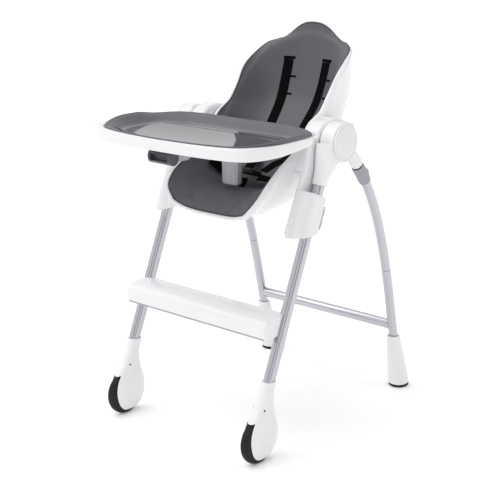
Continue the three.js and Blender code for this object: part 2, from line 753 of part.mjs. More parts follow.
// Rings that run round the seat's edge, stepped outwards in the surface and down through it.
function edgeRing(outward, depth, frontExtra = 0) {
  const loop = borderOf(padGrid);
  return loop.map(([i, j], k) => {
    const before = loop[(k + loop.length - 1) % loop.length];
    const after = loop[(k + 1) % loop.length];
    const tangent = padGrid[after[0]][after[1]].clone().sub(padGrid[before[0]][before[1]]).normalize();
    const normal = padNormals[i][j];
    const out = new THREE.Vector3().crossVectors(tangent, normal).normalize();
    const reach = outward + frontExtra * Math.max(0, (i - 12) / 3);
    return padGrid[i][j].clone().addScaledVector(out, reach).addScaledVector(normal, depth);
  });
}

function seatPad() {
  return layered(offsetGrid(0), offsetGrid(PAD_THICKNESS), [edgeRing(1.5, 2), edgeRing(1.5, PAD_THICKNESS - 2)]);
}

function seatTub() {
  const top = PAD_THICKNESS + GAP;
  const bottom = top + TUB_THICKNESS;
  return layered(offsetGrid(top), offsetGrid(bottom), [edgeRing(0.2, (top + bottom) / 2)]);
}

// The outer shell: a deep thin wall whose rounded lip frames the pad. Its first and last rows are
// parts of its own edge, and the rows between run from edge to edge through SHELL_ROWS.
function seatShell() {
  const rim = edgeRing(4.2, 15.5, 3);
  const at = new Map(borderOf(padGrid).map(([i, j], k) => [`${i},${j}`, rim[k]]));
  const outside = padGrid.map((row, i) => {
    if (i === 0 || i === padGrid.length - 1) return row.map((_, j) => at.get(`${i},${j}`));
    const corner = at.get(`${i},${COLUMNS}`);
    const [middle, power] = SHELL_ROWS[i - 1];
    return surfaceRow([middle, corner.toArray(), power], COLUMNS);
  });
  const normals = gridNormals(outside);
  const innerRim = edgeRing(2.2, 12.5, 1);
  const under = new Map(borderOf(padGrid).map(([i, j], k) => [`${i},${j}`, innerRim[k]]));
  const inside = outside.map((row, i) => row.map((p, j) => (
    under.get(`${i},${j}`) ?? p.clone().addScaledVector(normals[i][j], -SHELL_WALL))));
  const lip = [edgeRing(1.9, 11), edgeRing(1.9, 3), edgeRing(2.8, 1.2), edgeRing(4.6, 2.4, 4), edgeRing(5, 8, 4)];
  const wall = layered(inside, outside, lip);
  const boss = barX(PIVOT.y, PIVOT.z, 15, 159.7, CARRIAGE.inner - 1, 16);
  const pinHole = barX(PIVOT.y, PIVOT.z, PIVOT.radius + GAP, 171, 300, 14);
  const linerRoom = layered(
    offsetGrid(-1), offsetGrid(PAD_THICKNESS + TUB_THICKNESS + 2 * GAP), [edgeRing(1.8, 2), edgeRing(1.8, 9)]);
  return cut(join(wall, boss, mirrored(boss)), pinHole, mirrored(pinHole), linerRoom);
}

// ---------------------------------------------------------------- harness

// A flat band along a path of { point, normal }, with its faces square to each normal.
function strap(path, thickness = WEBBING.thickness) {
  const half = WEBBING.width / 2;
  const rings = path.map(({ point, normal }, i) => {
    const before = path[Math.max(i - 1, 0)].point;
    const after = path[Math.min(i + 1, path.length - 1)].point;
    const along = after.clone().sub(before).normalize();
    const across = new THREE.Vector3().crossVectors(along, normal).normalize();
    const up = new THREE.Vector3().crossVectors(across, along);
    return [[-half, -1], [half, -1], [half, 1], [-half, 1]].map(([u, v]) => (
      point.clone().addScaledVector(across, u).addScaledVector(up, (v * thickness) / 2)));
  });
  return skin(rings);
}

const vec = (x, y, z) => new THREE.Vector3(x, y, z);
const BUCKLE = { y: -88, z: 664 };
const STRAP_LIFT = 4.8;

// A point lifted off the pad's surface at distance x from the middle, between two of its rows.
function onPad(row, x, lift) {
  const at = (r, side) => {
    const low = Math.floor(r);
    const mix = r - low;
    const [a, b] = [PAD_ROWS[low], PAD_ROWS[low + 1]].map(([middle, edge, power]) => {
      const rise = Math.abs(side / edge[0]) ** power;
      return [middle[0] + (edge[1] - middle[0]) * rise, middle[1] + (edge[2] - middle[1]) * rise];
    });
    return vec(side, a[0] + (b[0] - a[0]) * mix, a[1] + (b[1] - a[1]) * mix);
  };
  const across = at(row, x + 5).sub(at(row, x - 5));
  const along = at(row + 0.2, x).sub(at(row - 0.2, x));
  const normal = new THREE.Vector3().crossVectors(along, across).normalize();
  return { point: at(row, x).addScaledVector(normal, lift), normal };
}

function shoulderStrap() {
  const lying = [[2.6, 65], [3.2, 64.5], [3.9, 64], [4.6, 62.5], [5.3, 60.5], [6, 58], [6.8, 55], [7.6, 51], [8.3, 47]];
  return strap([
    ...lying.map(([row, x]) => onPad(row, x, STRAP_LIFT)),
    { point: vec(38, -22, 690), normal: vec(0, -0.35, 0.94) },
    { point: vec(27, -62, 671), normal: vec(0, -0.35, 0.94) },
  ]);
}

function waistStrap() {
  const row = 10.2;
  const lying = [[130, 12], [124, 13], [116, 13], [106, 11], [88, 10]];
  return strap([
    ...lying.map(([x, lift]) => onPad(row, x, lift)),
    { point: vec(54, -84, 659), normal: vec(0.15, -0.2, 0.97) },
    { point: vec(30, -88, 660), normal: vec(0, -0.35, 0.94) },
  ]);
}

function crotchStrap() {
  const path = [[-128, 640.5], [-122, 645], [-116, 652], [-110, 660]];
  return strap(path.map(([y, z]) => ({ point: vec(0, y, z), normal: vec(0, -0.85, 0.5) })));
}

function buckle() {
  const body = sidePlate([[-24, -7, 5], [20, -7, 5], [20, 7, 5], [-24, 7, 5]], -25, 25, 2, 3);
  const well = box([-9.5, 9.5], [-14, 6], [3, 20]);
  return cut(body, well).rotateX(-0.35).translate(0, BUCKLE.y, BUCKLE.z + 8);
}

function buckleButton() {
  return box([-9.2, 9.2], [-13.7, 5.7], [5.4, 9]).rotateX(-0.35).translate(0, BUCKLE.y, BUCKLE.z + 8);
}

// ---------------------------------------------------------------- tray

// Right half of the tray's outline, from the middle of the front to the middle of the back. The
// third value is how much further in the insert's rounder front corner lies.
const TRAY_OUTLINE = [
  [0, -441, 0], [100, -438, 2], [180, -430, 9], [232, -417, 18], [262, -392, 24], [275, -350, 14],
  [278, -300, 2], [277, -240, 0], [271, -180, 0], [254, -150, 0], [218, -128, 0], [166, -110, 0],
  [84, -105, 0], [0, -108, 0],
];

// The outline as a closed ring, moved inwards, at heights given by a function of x and y. A ring of
// the insert's opening also takes the extra step in at the front corners.
function trayRing(inset, height, opening = true) {
  const right = TRAY_OUTLINE.slice(1, -1);
  const flat = [
    TRAY_OUTLINE[0], ...right, TRAY_OUTLINE[TRAY_OUTLINE.length - 1],
    ...right.slice().reverse().map(([x, y, corner]) => [-x, y, corner]),
  ];
  return flat.map(([x, y, corner], i) => {
    const before = flat[(i + flat.length - 1) % flat.length];
    const after = flat[(i + 1) % flat.length];
    const along = new THREE.Vector2(after[0] - before[0], after[1] - before[1]).normalize();
    const step = opening ? inset + corner : inset;
    const [px, py] = [x - along.y * step, y + along.x * step];
    return vec(px, py, height(px, py));
  });
}

function levelAt(z) {
  return () => z;
}

// The band under the rim is deepest at the front and thins towards the back.
function bandBottom(x, y) {
  const back = THREE.MathUtils.clamp((y + 300) / 190, 0, 1);
  return TRAY.bottom + 12 * back;
}

function trayFrame() {
  const floor = TRAY.bottom + 12;
  const deck = skin([
    trayRing(16, (x, y) => Math.min(bandBottom(x, y) + 6, floor - 2.5), false),
    trayRing(6, (x, y) => bandBottom(x, y) + 1, false),
    trayRing(2, bandBottom, false),
    trayRing(0, (x, y) => bandBottom(x, y) + 3, false),
    trayRing(0, levelAt(TRAY.top - 3), false),
    trayRing(2.5, levelAt(TRAY.top), false),
    trayRing(TRAY.rim + 1, levelAt(TRAY.top)),
    trayRing(TRAY.rim + 6, levelAt(TRAY.top - 8)),
    trayRing(TRAY.rim + 30, levelAt(floor)),
  ]);
  const tongue = box([TONGUE.inner, TONGUE.outer], [TONGUE.front, TONGUE.rear], [TONGUE.bottom, TONGUE.top]);
  return join(deck, tongue, mirrored(tongue));
}

// The rim of the lift-out insert swells up at both sides and stands a little higher at the back.
function rimHeight(x, y) {
  const { smoothstep } = THREE.MathUtils;
  const side = smoothstep(Math.abs(x), 150, 260);
  const swell = smoothstep(y, -400, -270) * (1 - smoothstep(y, -235, -165));
  return TRAY.top + GAP + 1 + 8 * side * swell + 3.5 * smoothstep(y, -160, -125);
}

function trayInsert() {
  const wall = 2.5;
  const floor = TRAY.bottom + 15;
  return skin([
    trayRing(TRAY.rim + 46, levelAt(floor - wall)),
    trayRing(TRAY.rim + 34, levelAt(floor - wall + 0.6)),
    trayRing(TRAY.rim + 9, levelAt(TRAY.top - 4)),
    trayRing(TRAY.rim + 3.5, levelAt(TRAY.top + GAP)),
    trayRing(TRAY.rim - 2, levelAt(TRAY.top + GAP)),
    trayRing(TRAY.rim - 2, (x, y) => rimHeight(x, y) + 0.6),
    trayRing(TRAY.rim + 1, (x, y) => rimHeight(x, y) + 1.6),
    trayRing(TRAY.rim + 4, rimHeight),
    trayRing(TRAY.rim + 24, (x, y) => TRAY.top - 4 + (rimHeight(x, y) - TRAY.top) * 0.4),
    trayRing(TRAY.rim + 46, levelAt(floor + 1)),
    trayRing(TRAY.rim + 56, levelAt(floor)),
  ]);
}

// The post between the child's legs hangs from the tray and has ribbed sides.
function crotchPost() {
  const { halfWidth, halfDepth, bottom } = POST;
  const top = TRAY.bottom + 5;
  const ring = (z, scale) => oval(halfWidth * scale, halfDepth * scale, 24, 4).map(([u, v], i) => (
    vec(u, POST.y + v * (i % 2 ? 1 : 0.86), z)));
  return skin([ring(bottom, 0.9), ring(bottom + 6, 0.98), ring(top, 1.06)]);
}

const LEVER = { front: -432, rear: -398, bottom: 744, top: 779, halfWidth: 37 };

function leverBlock() {
  return sidePlate([
    [LEVER.rear + 10, 780.3], [-330, 780.3], [-330, 766, 6], [-352, 750, 8], [LEVER.rear + 10, 750, 6],
  ], -30, 30, 2, 3);
}

function trayLever() {
  return sidePlate([
    [LEVER.front + 6, LEVER.top], [LEVER.rear, LEVER.top], [LEVER.rear, LEVER.bottom + 8, 5],
    [LEVER.rear - 14, LEVER.bottom, 6], [LEVER.front + 4, LEVER.bottom + 6, 8], [LEVER.front, LEVER.top - 12, 10],
  ], -LEVER.halfWidth, LEVER.halfWidth, 5, 3);
}

// ---------------------------------------------------------------- the chair

const frontFrame = group();
addPair('front_leg', frontLeg(), satinSilver, frontFrame);
addPair('hub_housing', hubHousing(), whiteGloss, frontFrame);
addPair('hub_cap', hubCap(), capGrey, frontFrame);
addPair('hub_pin', hubPin(), steel, frontFrame);
addPair('castor_housing', castorHousing(), whiteGloss, frontFrame);
addPair('castor_axle', castorAxle(), steel, frontFrame);
addPair('castor_screw', castorScrew(), steel, frontFrame);
addPair('castor_tyre', tyre(), tyreBlack, frontFrame);
addPair('castor_wheel', wheelHub(), capGrey, frontFrame);
add('footrest', footrest(), whiteGloss, frontFrame);

const rearFrame = group();
addPair('rear_socket', rearSocket(), whiteGloss, rearFrame);
addPair('fold_collar', foldCollar(), collarGrey, rearFrame);
addPair('fold_button', buttonBar(8, REAR_RADIUS + 3.2, COLLAR.radius + 4.5), collarGrey, rearFrame);
const { stud, hole } = snapStud();
addPair('rear_leg_upper', cut(rearLegUpper(), hole), satinSilver, rearFrame);
addPair('rear_leg_lower', rearLegLower(), satinSilver, rearFrame);
addPair('rear_leg_stud', stud, steel, rearFrame);
add('rear_crossbar', crossbar(), satinSilver, rearFrame);
addPair('rear_foot', rearFoot(), whiteGloss, rearFrame);
addPair('rear_sole', rearSole(), tyreBlack, rearFrame);

const carriages = group();
addPair('height_carriage', carriage(), whiteGloss, carriages);
addPair('height_trigger', triggerBar(0), capGrey, carriages);
addPair('seat_pivot_pin', pivotPin(), steel, carriages);

const seat = group();
add('seat_shell', seatShell(), whiteGloss, seat);
add('seat_tub', seatTub(), whiteGloss, seat);
add('seat_pad', seatPad(), padGrey, seat);
addPair('shoulder_strap', shoulderStrap(), webbingBlack, seat);
addPair('waist_strap', waistStrap(), webbingBlack, seat);
add('crotch_strap', crotchStrap(), webbingBlack, seat);
add('harness_buckle', buckle(), buckleBlack, seat);
add('buckle_button', buckleButton(), capGrey, seat);

const tray = group();
add('tray_frame', trayFrame(), whiteGloss, tray);
add('tray_insert', trayInsert(), trayGrey, tray);
add('crotch_post', crotchPost(), postGrey, tray);
add('tray_lever_block', leverBlock(), postGrey, tray);
add('tray_lever', trayLever(), leverGrey, tray);

export default chair;
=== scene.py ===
"""Folding baby high chair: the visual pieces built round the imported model.

Lengths inside this file are millimetres measured from the working origin that the model's own
source uses. to_frame() shifts them to the middle of the chair's footprint and turns them into metres.
A pair is made once on the +X side, named _right, and mirrored.
"""

import json
import math

import bmesh
import bpy
import numpy as np
from mathutils import Matrix, Vector

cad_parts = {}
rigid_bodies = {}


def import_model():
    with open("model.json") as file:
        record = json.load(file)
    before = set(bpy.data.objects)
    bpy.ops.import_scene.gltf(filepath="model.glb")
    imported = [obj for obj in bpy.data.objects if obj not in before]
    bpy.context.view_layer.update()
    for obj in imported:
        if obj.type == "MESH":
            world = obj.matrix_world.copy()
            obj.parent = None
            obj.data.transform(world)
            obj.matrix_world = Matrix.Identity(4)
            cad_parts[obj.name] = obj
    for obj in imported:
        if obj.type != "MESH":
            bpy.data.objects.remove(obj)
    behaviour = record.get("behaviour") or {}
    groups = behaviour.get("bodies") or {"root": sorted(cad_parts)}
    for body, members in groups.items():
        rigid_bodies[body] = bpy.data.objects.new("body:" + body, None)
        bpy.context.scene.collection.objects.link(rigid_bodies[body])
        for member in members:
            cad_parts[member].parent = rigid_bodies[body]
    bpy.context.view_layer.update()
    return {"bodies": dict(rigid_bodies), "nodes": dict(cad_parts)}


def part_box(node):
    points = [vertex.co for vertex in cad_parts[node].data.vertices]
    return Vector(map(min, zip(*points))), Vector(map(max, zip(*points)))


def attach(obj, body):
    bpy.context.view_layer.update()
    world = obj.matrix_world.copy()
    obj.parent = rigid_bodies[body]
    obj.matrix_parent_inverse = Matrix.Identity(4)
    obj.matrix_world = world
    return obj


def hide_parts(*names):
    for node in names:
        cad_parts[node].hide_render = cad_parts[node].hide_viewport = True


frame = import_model()


# ---------------------------------------------------------------- driving dimensions, millimetres

MM = 0.001


def centre_of(node):
    low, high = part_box(node)
    return (low + high) / 2 / MM


HUB_Y, HUB_Z, HUB_RADIUS = -35, 775, 51
HUB_INNER, HUB_OUTER = 223, 267
CENTRE_SHIFT = centre_of("hub_cap_right").y - HUB_Y
CAP_INNER, CAP_OUTER, CAP_RADIUS = 267.3, 273.5, 49

LEG_X = 239
LEG_FOOT_Y, LEG_FOOT_Z, LEG_LEAN = -298, 208, 0.4227
LEG_ANGLE = math.atan(LEG_LEAN)
LEG_BOTTOM, LEG_TOP = 186, 722
LEG_HALF_WIDTH, LEG_HALF_DEPTH, LEG_POWER, TUBE_WALL = 13.5, 15, 2.5, 2
SLEEVE_BOTTOM = 672

WHEEL_Y, WHEEL_RADIUS, WHEEL_WIDTH, WHEEL_HUB = -340, 60, 23, 37
CASTOR_X, CASTOR_SLOT = 238, 25
SCREW_Y, SCREW_Z = -335, 143
# Height, centre along Y, half length along Y and half width along X of the castor housing.
POD_SECTIONS = [
    (8, -331, 20, 9), (13, -331, 34, 15), (26, -330, 46, 19.5), (46, -329, 54, 22),
    (72, -329, 56.5, 22.5), (98, -328.5, 51.5, 22.5), (122, -325, 42, 21.5),
    (146, -318, 30, 19.5), (172, -310.5, 21.6, 18.3), (196, -302, 19.6, 17.6), (206, -298.6, 18.8, 17.2),
    (208, -298, 17.6, 16),
]

REAR_X, REAR_RADIUS, REAR_LEAN = 240.5, 13, -0.24
REAR_END_Y, REAR_END_Z = 271, 165
REAR_PATH = [(62, 698), (184, 566), (222, 370), (REAR_END_Y, REAR_END_Z)]
REAR_ARM_PATH = [(HUB_Y, HUB_Z), (12, 754), (40, 729), (62, 698)]
REAR_SEAM = 0.645
CROSSBAR_Y, CROSSBAR_Z, CROSSBAR_RADIUS = 264, 199, 14

PIN_RADIUS = 6.3
COLLAR_BUTTON_AT, STUD_AT = 0.075, 0.575

FOOTREST_HALF, FOOTREST_TOP = 241, 371.2

TRAY_BOTTOM, TRAY_TOP, TRAY_RIM = 781, 811, 5
# Right half of the tray's outline, and how much further in the insert's round front corner lies.
TRAY_OUTLINE = [
    (0, -441, 0), (100, -438, 2), (180, -430, 9), (232, -417, 18), (262, -392, 24), (275, -350, 14),
    (278, -300, 2), (277, -240, 0), (271, -180, 0), (254, -150, 0), (218, -128, 0), (166, -110, 0),
    (84, -105, 0), (0, -108, 0),
]
TONGUE_X, TONGUE_Z = 195, 793
POST_Y, POST_HALF_WIDTH, POST_HALF_DEPTH = -159, 28, 13

PIVOT_Y, PIVOT_Z = -120, 700
PAD_THICKNESS = 8
WEBBING_WIDTH, WEBBING_THICKNESS = 29, 2.2
BUCKLE_Y, BUCKLE_Z, BUCKLE_TILT = -88, 672, -0.35

# Each row runs across the seat: its middle [y, z], its edge [x, y, z], and the power that says how
# flat the middle is before the sides turn up. The top row has no power: it is a bell-shaped bump.
PAD_ROWS = [
    (187, 1043, 111, 183, 996, 0), (181, 1001, 140, 158, 983, 1.8), (173, 965, 151, 115, 955, 3.2),
    (163, 925, 155, 77, 923, 3.6), (148, 880, 152, 46, 878, 3.8), (128, 836, 152, 16, 840, 4),
    (98, 797, 152, -10, 824, 4), (60, 754, 151, -34, 810, 4), (24, 708, 151, -66, 777, 4),
    (-14, 664, 150, -94, 745, 4), (-62, 640, 150, -121, 729, 4), (-112, 634, 150, -152, 713, 4),
    (-156, 639, 152, -187, 693, 4), (-195, 632, 153, -217, 673, 3.6), (-228, 611, 146, -244, 643, 3),
    (-243, 593, 121, -252, 612, 4.2),
]
# The outer shell's middle [y, z] and power in the rows between its top and front edges.
SHELL_ROWS = [
    (212, 1004, 3), (216, 962, 4.5), (214, 918, 6), (206, 870, 7), (192, 822, 7), (173, 776, 7),
    (148, 728, 7), (112, 680, 6.5), (64, 636, 6), (0, 602, 5.5), (-70, 583, 5), (-132, 577, 4.6),
    (-184, 577, 4.2), (-228, 581, 4),
]


# ---------------------------------------------------------------- points and curves


def to_frame(points):
    moved = np.array(points, float)
    moved[..., 1] += CENTRE_SHIFT
    return moved * MM


def smooth_through(points, count, closed=False):
    """count rows of numbers on a smooth curve through the given rows."""
    p = np.array(points, float)
    if closed:
        held = np.concatenate([p[-1:], p, p[:2]])
    else:
        held = np.concatenate([2 * p[:1] - p[1:2], p, 2 * p[-1:] - p[-2:-1]])
    spans = len(p) if closed else len(p) - 1
    at = np.linspace(0, spans, count, endpoint=not closed)
    i = np.minimum(at.astype(int), spans - 1)
    f = (at - i)[:, None]
    a, b, c, d = held[i], held[i + 1], held[i + 2], held[i + 3]
    return 0.5 * (2 * b + (c - a) * f + (2 * a - 5 * b + 4 * c - d) * f**2 + (3 * b - a - 3 * c + d) * f**3)


def unit(v):
    return v / np.maximum(np.linalg.norm(v, axis=-1, keepdims=True), 1e-9)


def oval(half_u, half_v, count, power=2.0):
    angle = (np.arange(count) + 0.5) / count * 2 * math.pi
    c, s = np.cos(angle), np.sin(angle)
    u = half_u * np.sign(c) * np.abs(c) ** (2 / power)
    v = half_v * np.sign(s) * np.abs(s) ** (2 / power)
    return np.stack([u, v], 1)


def rounded(corners, steps=6):
    """A closed outline from corners (u, v, radius), each turned into a short curve."""
    outline = []
    for i, (u, v, radius) in enumerate(corners):
        corner = np.array([u, v], float)
        before = np.array(corners[i - 1][:2], float)
        after = np.array(corners[(i + 1) % len(corners)][:2], float)
        room = 0.48 * min(np.linalg.norm(before - corner), np.linalg.norm(after - corner))
        reach = min(max(radius, 0.3), room)
        arrive = corner + unit(before - corner) * reach
        leave = corner + unit(after - corner) * reach
        for t in np.linspace(0, 1, steps):
            outline.append(arrive * (1 - t) ** 2 + corner * 2 * t * (1 - t) + leave * t**2)
    return np.array(outline)


def bezier(path, t):
    p = np.array(path, float)
    return (1 - t) ** 3 * p[0] + 3 * t * (1 - t) ** 2 * p[1] + 3 * t**2 * (1 - t) * p[2] + t**3 * p[3]


def bezier_line(path, start, end, count, x):
    points = np.array([bezier(path, t) for t in np.linspace(start, end, count)])
    return np.concatenate([np.full((count, 1), x), points], 1)


def swept(line, sections):
    """Rings square to a line that stays in a plane of constant X. Each section is (along X, across)."""
    along = unit(np.gradient(np.array(line, float), axis=0))
    across = np.cross(along, [1, 0, 0])
    rings = []
    for centre, side, section in zip(line, across, sections):
        rings.append(centre + section[:, :1] * np.array([1, 0, 0]) + section[:, 1:] * side)
    return rings


def leg_y(z):
    return LEG_FOOT_Y + (z - LEG_FOOT_Z) * LEG_LEAN


def leg_ring(section, z, x=LEG_X):
    normal = np.array([0, math.cos(LEG_ANGLE), -math.sin(LEG_ANGLE)])
    section = np.array(section, float)
    return np.array([x, leg_y(z), z]) + section[:, :1] * np.array([1, 0, 0]) + section[:, 1:] * normal


def leg_bore(clearance, *heights):
    """A cutter for the room that the front leg's tube takes up, with a clearance all round."""
    section = oval(LEG_HALF_WIDTH + clearance, LEG_HALF_DEPTH + clearance, 64, LEG_POWER)
    return loft("leg_bore", [leg_ring(section, z) for z in heights])


def boot_y(z):
    """Where the straight lower end of the rear leg is at a height."""
    return REAR_END_Y + (z - REAR_END_Z) * REAR_LEAN


# ---------------------------------------------------------------- meshes


def placed(name, data):
    """An object made from a mesh, a light or a camera, put into the scene."""
    obj = bpy.data.objects.new(name, data)
    bpy.context.scene.collection.objects.link(obj)
    return obj


def mesh_object(name, points, faces, uvs=None, sharp=38):
    mesh = bpy.data.meshes.new(name)
    mesh.from_pydata(to_frame(points).tolist(), [], faces)
    if uvs is not None:
        layer = mesh.uv_layers.new(name="length_map")
        layer.data.foreach_set("uv", (np.array(uvs, np.float32) * MM).ravel())
    made = bmesh.new()
    made.from_mesh(mesh)
    bmesh.ops.recalc_face_normals(made, faces=made.faces)
    made.to_mesh(mesh)
    made.free()
    obj = placed(name, mesh)
    soften(obj, sharp)
    return obj


def soften(obj, sharp=38):
    obj.data.shade_smooth()
    obj.data.set_sharp_from_angle(angle=math.radians(sharp))


def loft(name, rings, looped=False, sharp=38):
    """A skin over rings of equal length: capped at both ends, or looped back into a hollow form."""
    rings = np.array(rings, float)
    bands, count = len(rings), rings.shape[1]
    around = np.concatenate([[0], np.cumsum(np.linalg.norm(rings[0] - np.roll(rings[0], -1, 0), axis=1))])
    steps = np.linalg.norm(np.roll(rings, -1, 0) - rings, axis=2).mean(1)
    along = np.concatenate([[0], np.cumsum(steps)])
    faces, uvs = [], []
    for i in range(bands if looped else bands - 1):
        low, high = i * count, ((i + 1) % bands) * count
        for j in range(count):
            k = (j + 1) % count
            faces.append((low + j, low + k, high + k, high + j))
            left, right = around[j], around[j + 1]
            uvs += [(left, along[i]), (right, along[i]), (right, along[i + 1]), (left, along[i + 1])]
    if not looped:
        for start in (0, (bands - 1) * count):
            faces.append(tuple(range(start, start + count)))
            uvs += [(p[0], p[2]) for p in rings.reshape(-1, 3)[start:start + count]]
    return mesh_object(name, rings.reshape(-1, 3), faces, uvs, sharp)


def lathe(name, y, z, profile, sides=64, looped=False, sharp=38):
    """A turned piece on an X axis, from a profile of (radius, x) with no point on the axis."""
    angle = np.arange(sides) / sides * 2 * math.pi
    rings = [
        np.stack([np.full(sides, x), y + r * np.cos(angle), z + r * np.sin(angle)], 1) for r, x in profile
    ]
    return loft(name, rings, looped, sharp)


def slab(name, outline, x_from, x_to, round_edge=3.0):
    """A plate with its outline in the YZ plane, its thickness along X and round edges."""
    outline = np.array(outline, float)
    tangent = unit(np.roll(outline, -1, 0) - np.roll(outline, 1, 0))
    area = np.sum(outline[:, 0] * np.roll(outline[:, 1], -1) - np.roll(outline[:, 0], -1) * outline[:, 1])
    inward = np.stack([-tangent[:, 1], tangent[:, 0]], 1) * (1 if area > 0 else -1)
    rings = []
    turns = np.linspace(0, math.pi / 2, 5)
    steps = [(x_from + round_edge * (1 - math.sin(a)), round_edge * (1 - math.cos(a))) for a in turns[::-1]]
    steps += [(x_to - round_edge * (1 - math.sin(a)), round_edge * (1 - math.cos(a))) for a in turns]
    for x, inset in steps:
        flat = outline + inward * inset
        rings.append(np.concatenate([np.full((len(flat), 1), x), flat], 1))
    return loft(name, rings)


def applied(obj):
    """Turns what the modifiers make into the object's own mesh."""
    graph = bpy.context.evaluated_depsgraph_get()
    mesh = bpy.data.meshes.new_from_object(obj.evaluated_get(graph))
    obj.modifiers.clear()
    obj.data = mesh
    return obj


def joined(name, parts):
    made = bmesh.new()
    for part in parts:
        made.from_mesh(part.data)
        bpy.data.objects.remove(part)
    mesh = bpy.data.meshes.new(name)
    made.to_mesh(mesh)
    made.free()
    return placed(name, mesh)


def moulded(name, parts, cutters=(), voxel=1.5, smoothing=6, sharp=38):
    """One moulding grown from overlapping parts, with soft inside corners, then cut by the cutters."""
    obj = joined(name, parts)
    remesh = obj.modifiers.new("grow", "REMESH")
    remesh.mode = "VOXEL"
    remesh.voxel_size = voxel * MM
    smooth = obj.modifiers.new("relax", "SMOOTH")
    smooth.iterations = smoothing
    applied(obj)
    return carved(obj, cutters, sharp)


def carved(obj, cutters, sharp=38):
    for cutter in cutters:
        cut = obj.modifiers.new("cut", "BOOLEAN")
        cut.operation = "DIFFERENCE"
        cut.solver = "EXACT"
        cut.object = cutter
        applied(obj)
        bpy.data.objects.remove(cutter)
    soften(obj, sharp)
    return obj


def twin(obj, name):
    mesh = obj.data.copy()
    mesh.transform(Matrix.Scale(-1, 4, (1, 0, 0)))
    mesh.flip_normals()
    return placed(name, mesh)


def piece(obj, body, slot, material, *nodes):
    obj.data.materials.clear()
    obj.data.materials.append(material)
    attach(obj, body)
    if nodes:
        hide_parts(*nodes)
    return obj


def pair(obj, body, slot, material, *nodes):
    """obj is the +X piece. Its name ends in _right, and a body or node with a side is given without it."""
    other = twin(obj, obj.name.replace("_right", "_left"))
    for made, side in ((obj, "right"), (other, "left")):
        own_body = body if body in frame["bodies"] else f"{body}_{side}"
        piece(made, own_body, slot, material, *(f"{node}_{side}" for node in nodes))


# ---------------------------------------------------------------- materials


def add_node(material, kind, **values):
    """A new shader node with its input sockets set. An underscore stands for a space in a socket's name."""
    node = material.node_tree.nodes.new("ShaderNode" + kind)
    for socket, value in values.items():
        node.inputs[socket.replace("_", " ")].default_value = value
    return node


def surface(name, colour, roughness, metallic=0.0, vary=0.03, rough_vary=0.06, patch=14.0, **sockets):
    """A Principled material whose colour and roughness drift a little over the surface."""
    material = bpy.data.materials.new(name)
    material.use_nodes = True
    links = material.node_tree.links
    shader = material.node_tree.nodes["Principled BSDF"]
    shader.inputs["Metallic"].default_value = metallic
    for socket, value in sockets.items():
        shader.inputs[socket.replace("_", " ")].default_value = value
    place = add_node(material, "TexCoord")
    noise = add_node(material, "TexNoise", Scale=patch, Detail=6)
    links.new(place.outputs["Object"], noise.inputs["Vector"])
    ramp = add_node(material, "ValToRGB")
    for stop, share in zip(ramp.color_ramp.elements, (1 - vary, 1 + vary)):
        stop.color = [min(1.0, c * share) for c in colour] + [1]
    ramp.color_ramp.elements[0].position = 0.3
    ramp.color_ramp.elements[1].position = 0.7
    links.new(noise.outputs["Fac"], ramp.inputs["Fac"])
    links.new(ramp.outputs["Color"], shader.inputs["Base Color"])
    spread = add_node(material, "MapRange", To_Min=max(0.02, roughness - rough_vary),
                      To_Max=roughness + rough_vary)
    links.new(noise.outputs["Fac"], spread.inputs["Value"])
    links.new(spread.outputs["Result"], shader.inputs["Roughness"])
    return material


def add_bump(material, height, strength, distance):
    links = material.node_tree.links
    shader = material.node_tree.nodes["Principled BSDF"]
    bump = add_node(material, "Bump", Strength=strength, Distance=distance)
    if shader.inputs["Normal"].is_linked:
        links.new(shader.inputs["Normal"].links[0].from_socket, bump.inputs["Normal"])
    links.new(height, bump.inputs["Height"])
    links.new(bump.outputs["Normal"], shader.inputs["Normal"])
    return material


def grain(material, scale, strength, distance=0.0004, detail=3.0):
    """A fine moulded or cast grain."""
    noise = add_node(material, "TexNoise", Scale=scale, Detail=detail)
    place = add_node(material, "TexCoord")
    material.node_tree.links.new(place.outputs["Object"], noise.inputs["Vector"])
    return add_bump(material, noise.outputs["Fac"], strength, distance)


def leather_grain(material, cell, strength):
    """Small pebbles with creases between them."""
    links = material.node_tree.links
    place = add_node(material, "TexCoord")
    cells = add_node(material, "TexVoronoi", Scale=1 / (cell * MM))
    cells.feature = "DISTANCE_TO_EDGE"
    warp = add_node(material, "TexNoise", Scale=180)
    mix = add_node(material, "Mix")
    mix.data_type = "VECTOR"
    mix.inputs["Factor"].default_value = 0.004
    links.new(place.outputs["Object"], warp.inputs["Vector"])
    links.new(place.outputs["Object"], mix.inputs["A"])
    links.new(warp.outputs["Color"], mix.inputs["B"])
    links.new(mix.outputs["Result"], cells.inputs["Vector"])
    crease = add_node(material, "MapRange", From_Max=0.22)
    links.new(cells.outputs["Distance"], crease.inputs["Value"])
    return add_bump(material, crease.outputs["Result"], strength, 0.0002)


def drawn_lines(material, across, strength):
    """Fine lines along a tube's length, from its length map."""
    links = material.node_tree.links
    place = add_node(material, "UVMap")
    place.uv_map = "length_map"
    stretch = add_node(material, "Mapping", Scale=(across, across / 120, 1))
    noise = add_node(material, "TexNoise", Scale=1, Detail=4)
    links.new(place.outputs["UV"], stretch.inputs["Vector"])
    links.new(stretch.outputs["Vector"], noise.inputs["Vector"])
    return add_bump(material, noise.outputs["Fac"], strength, 0.00012)


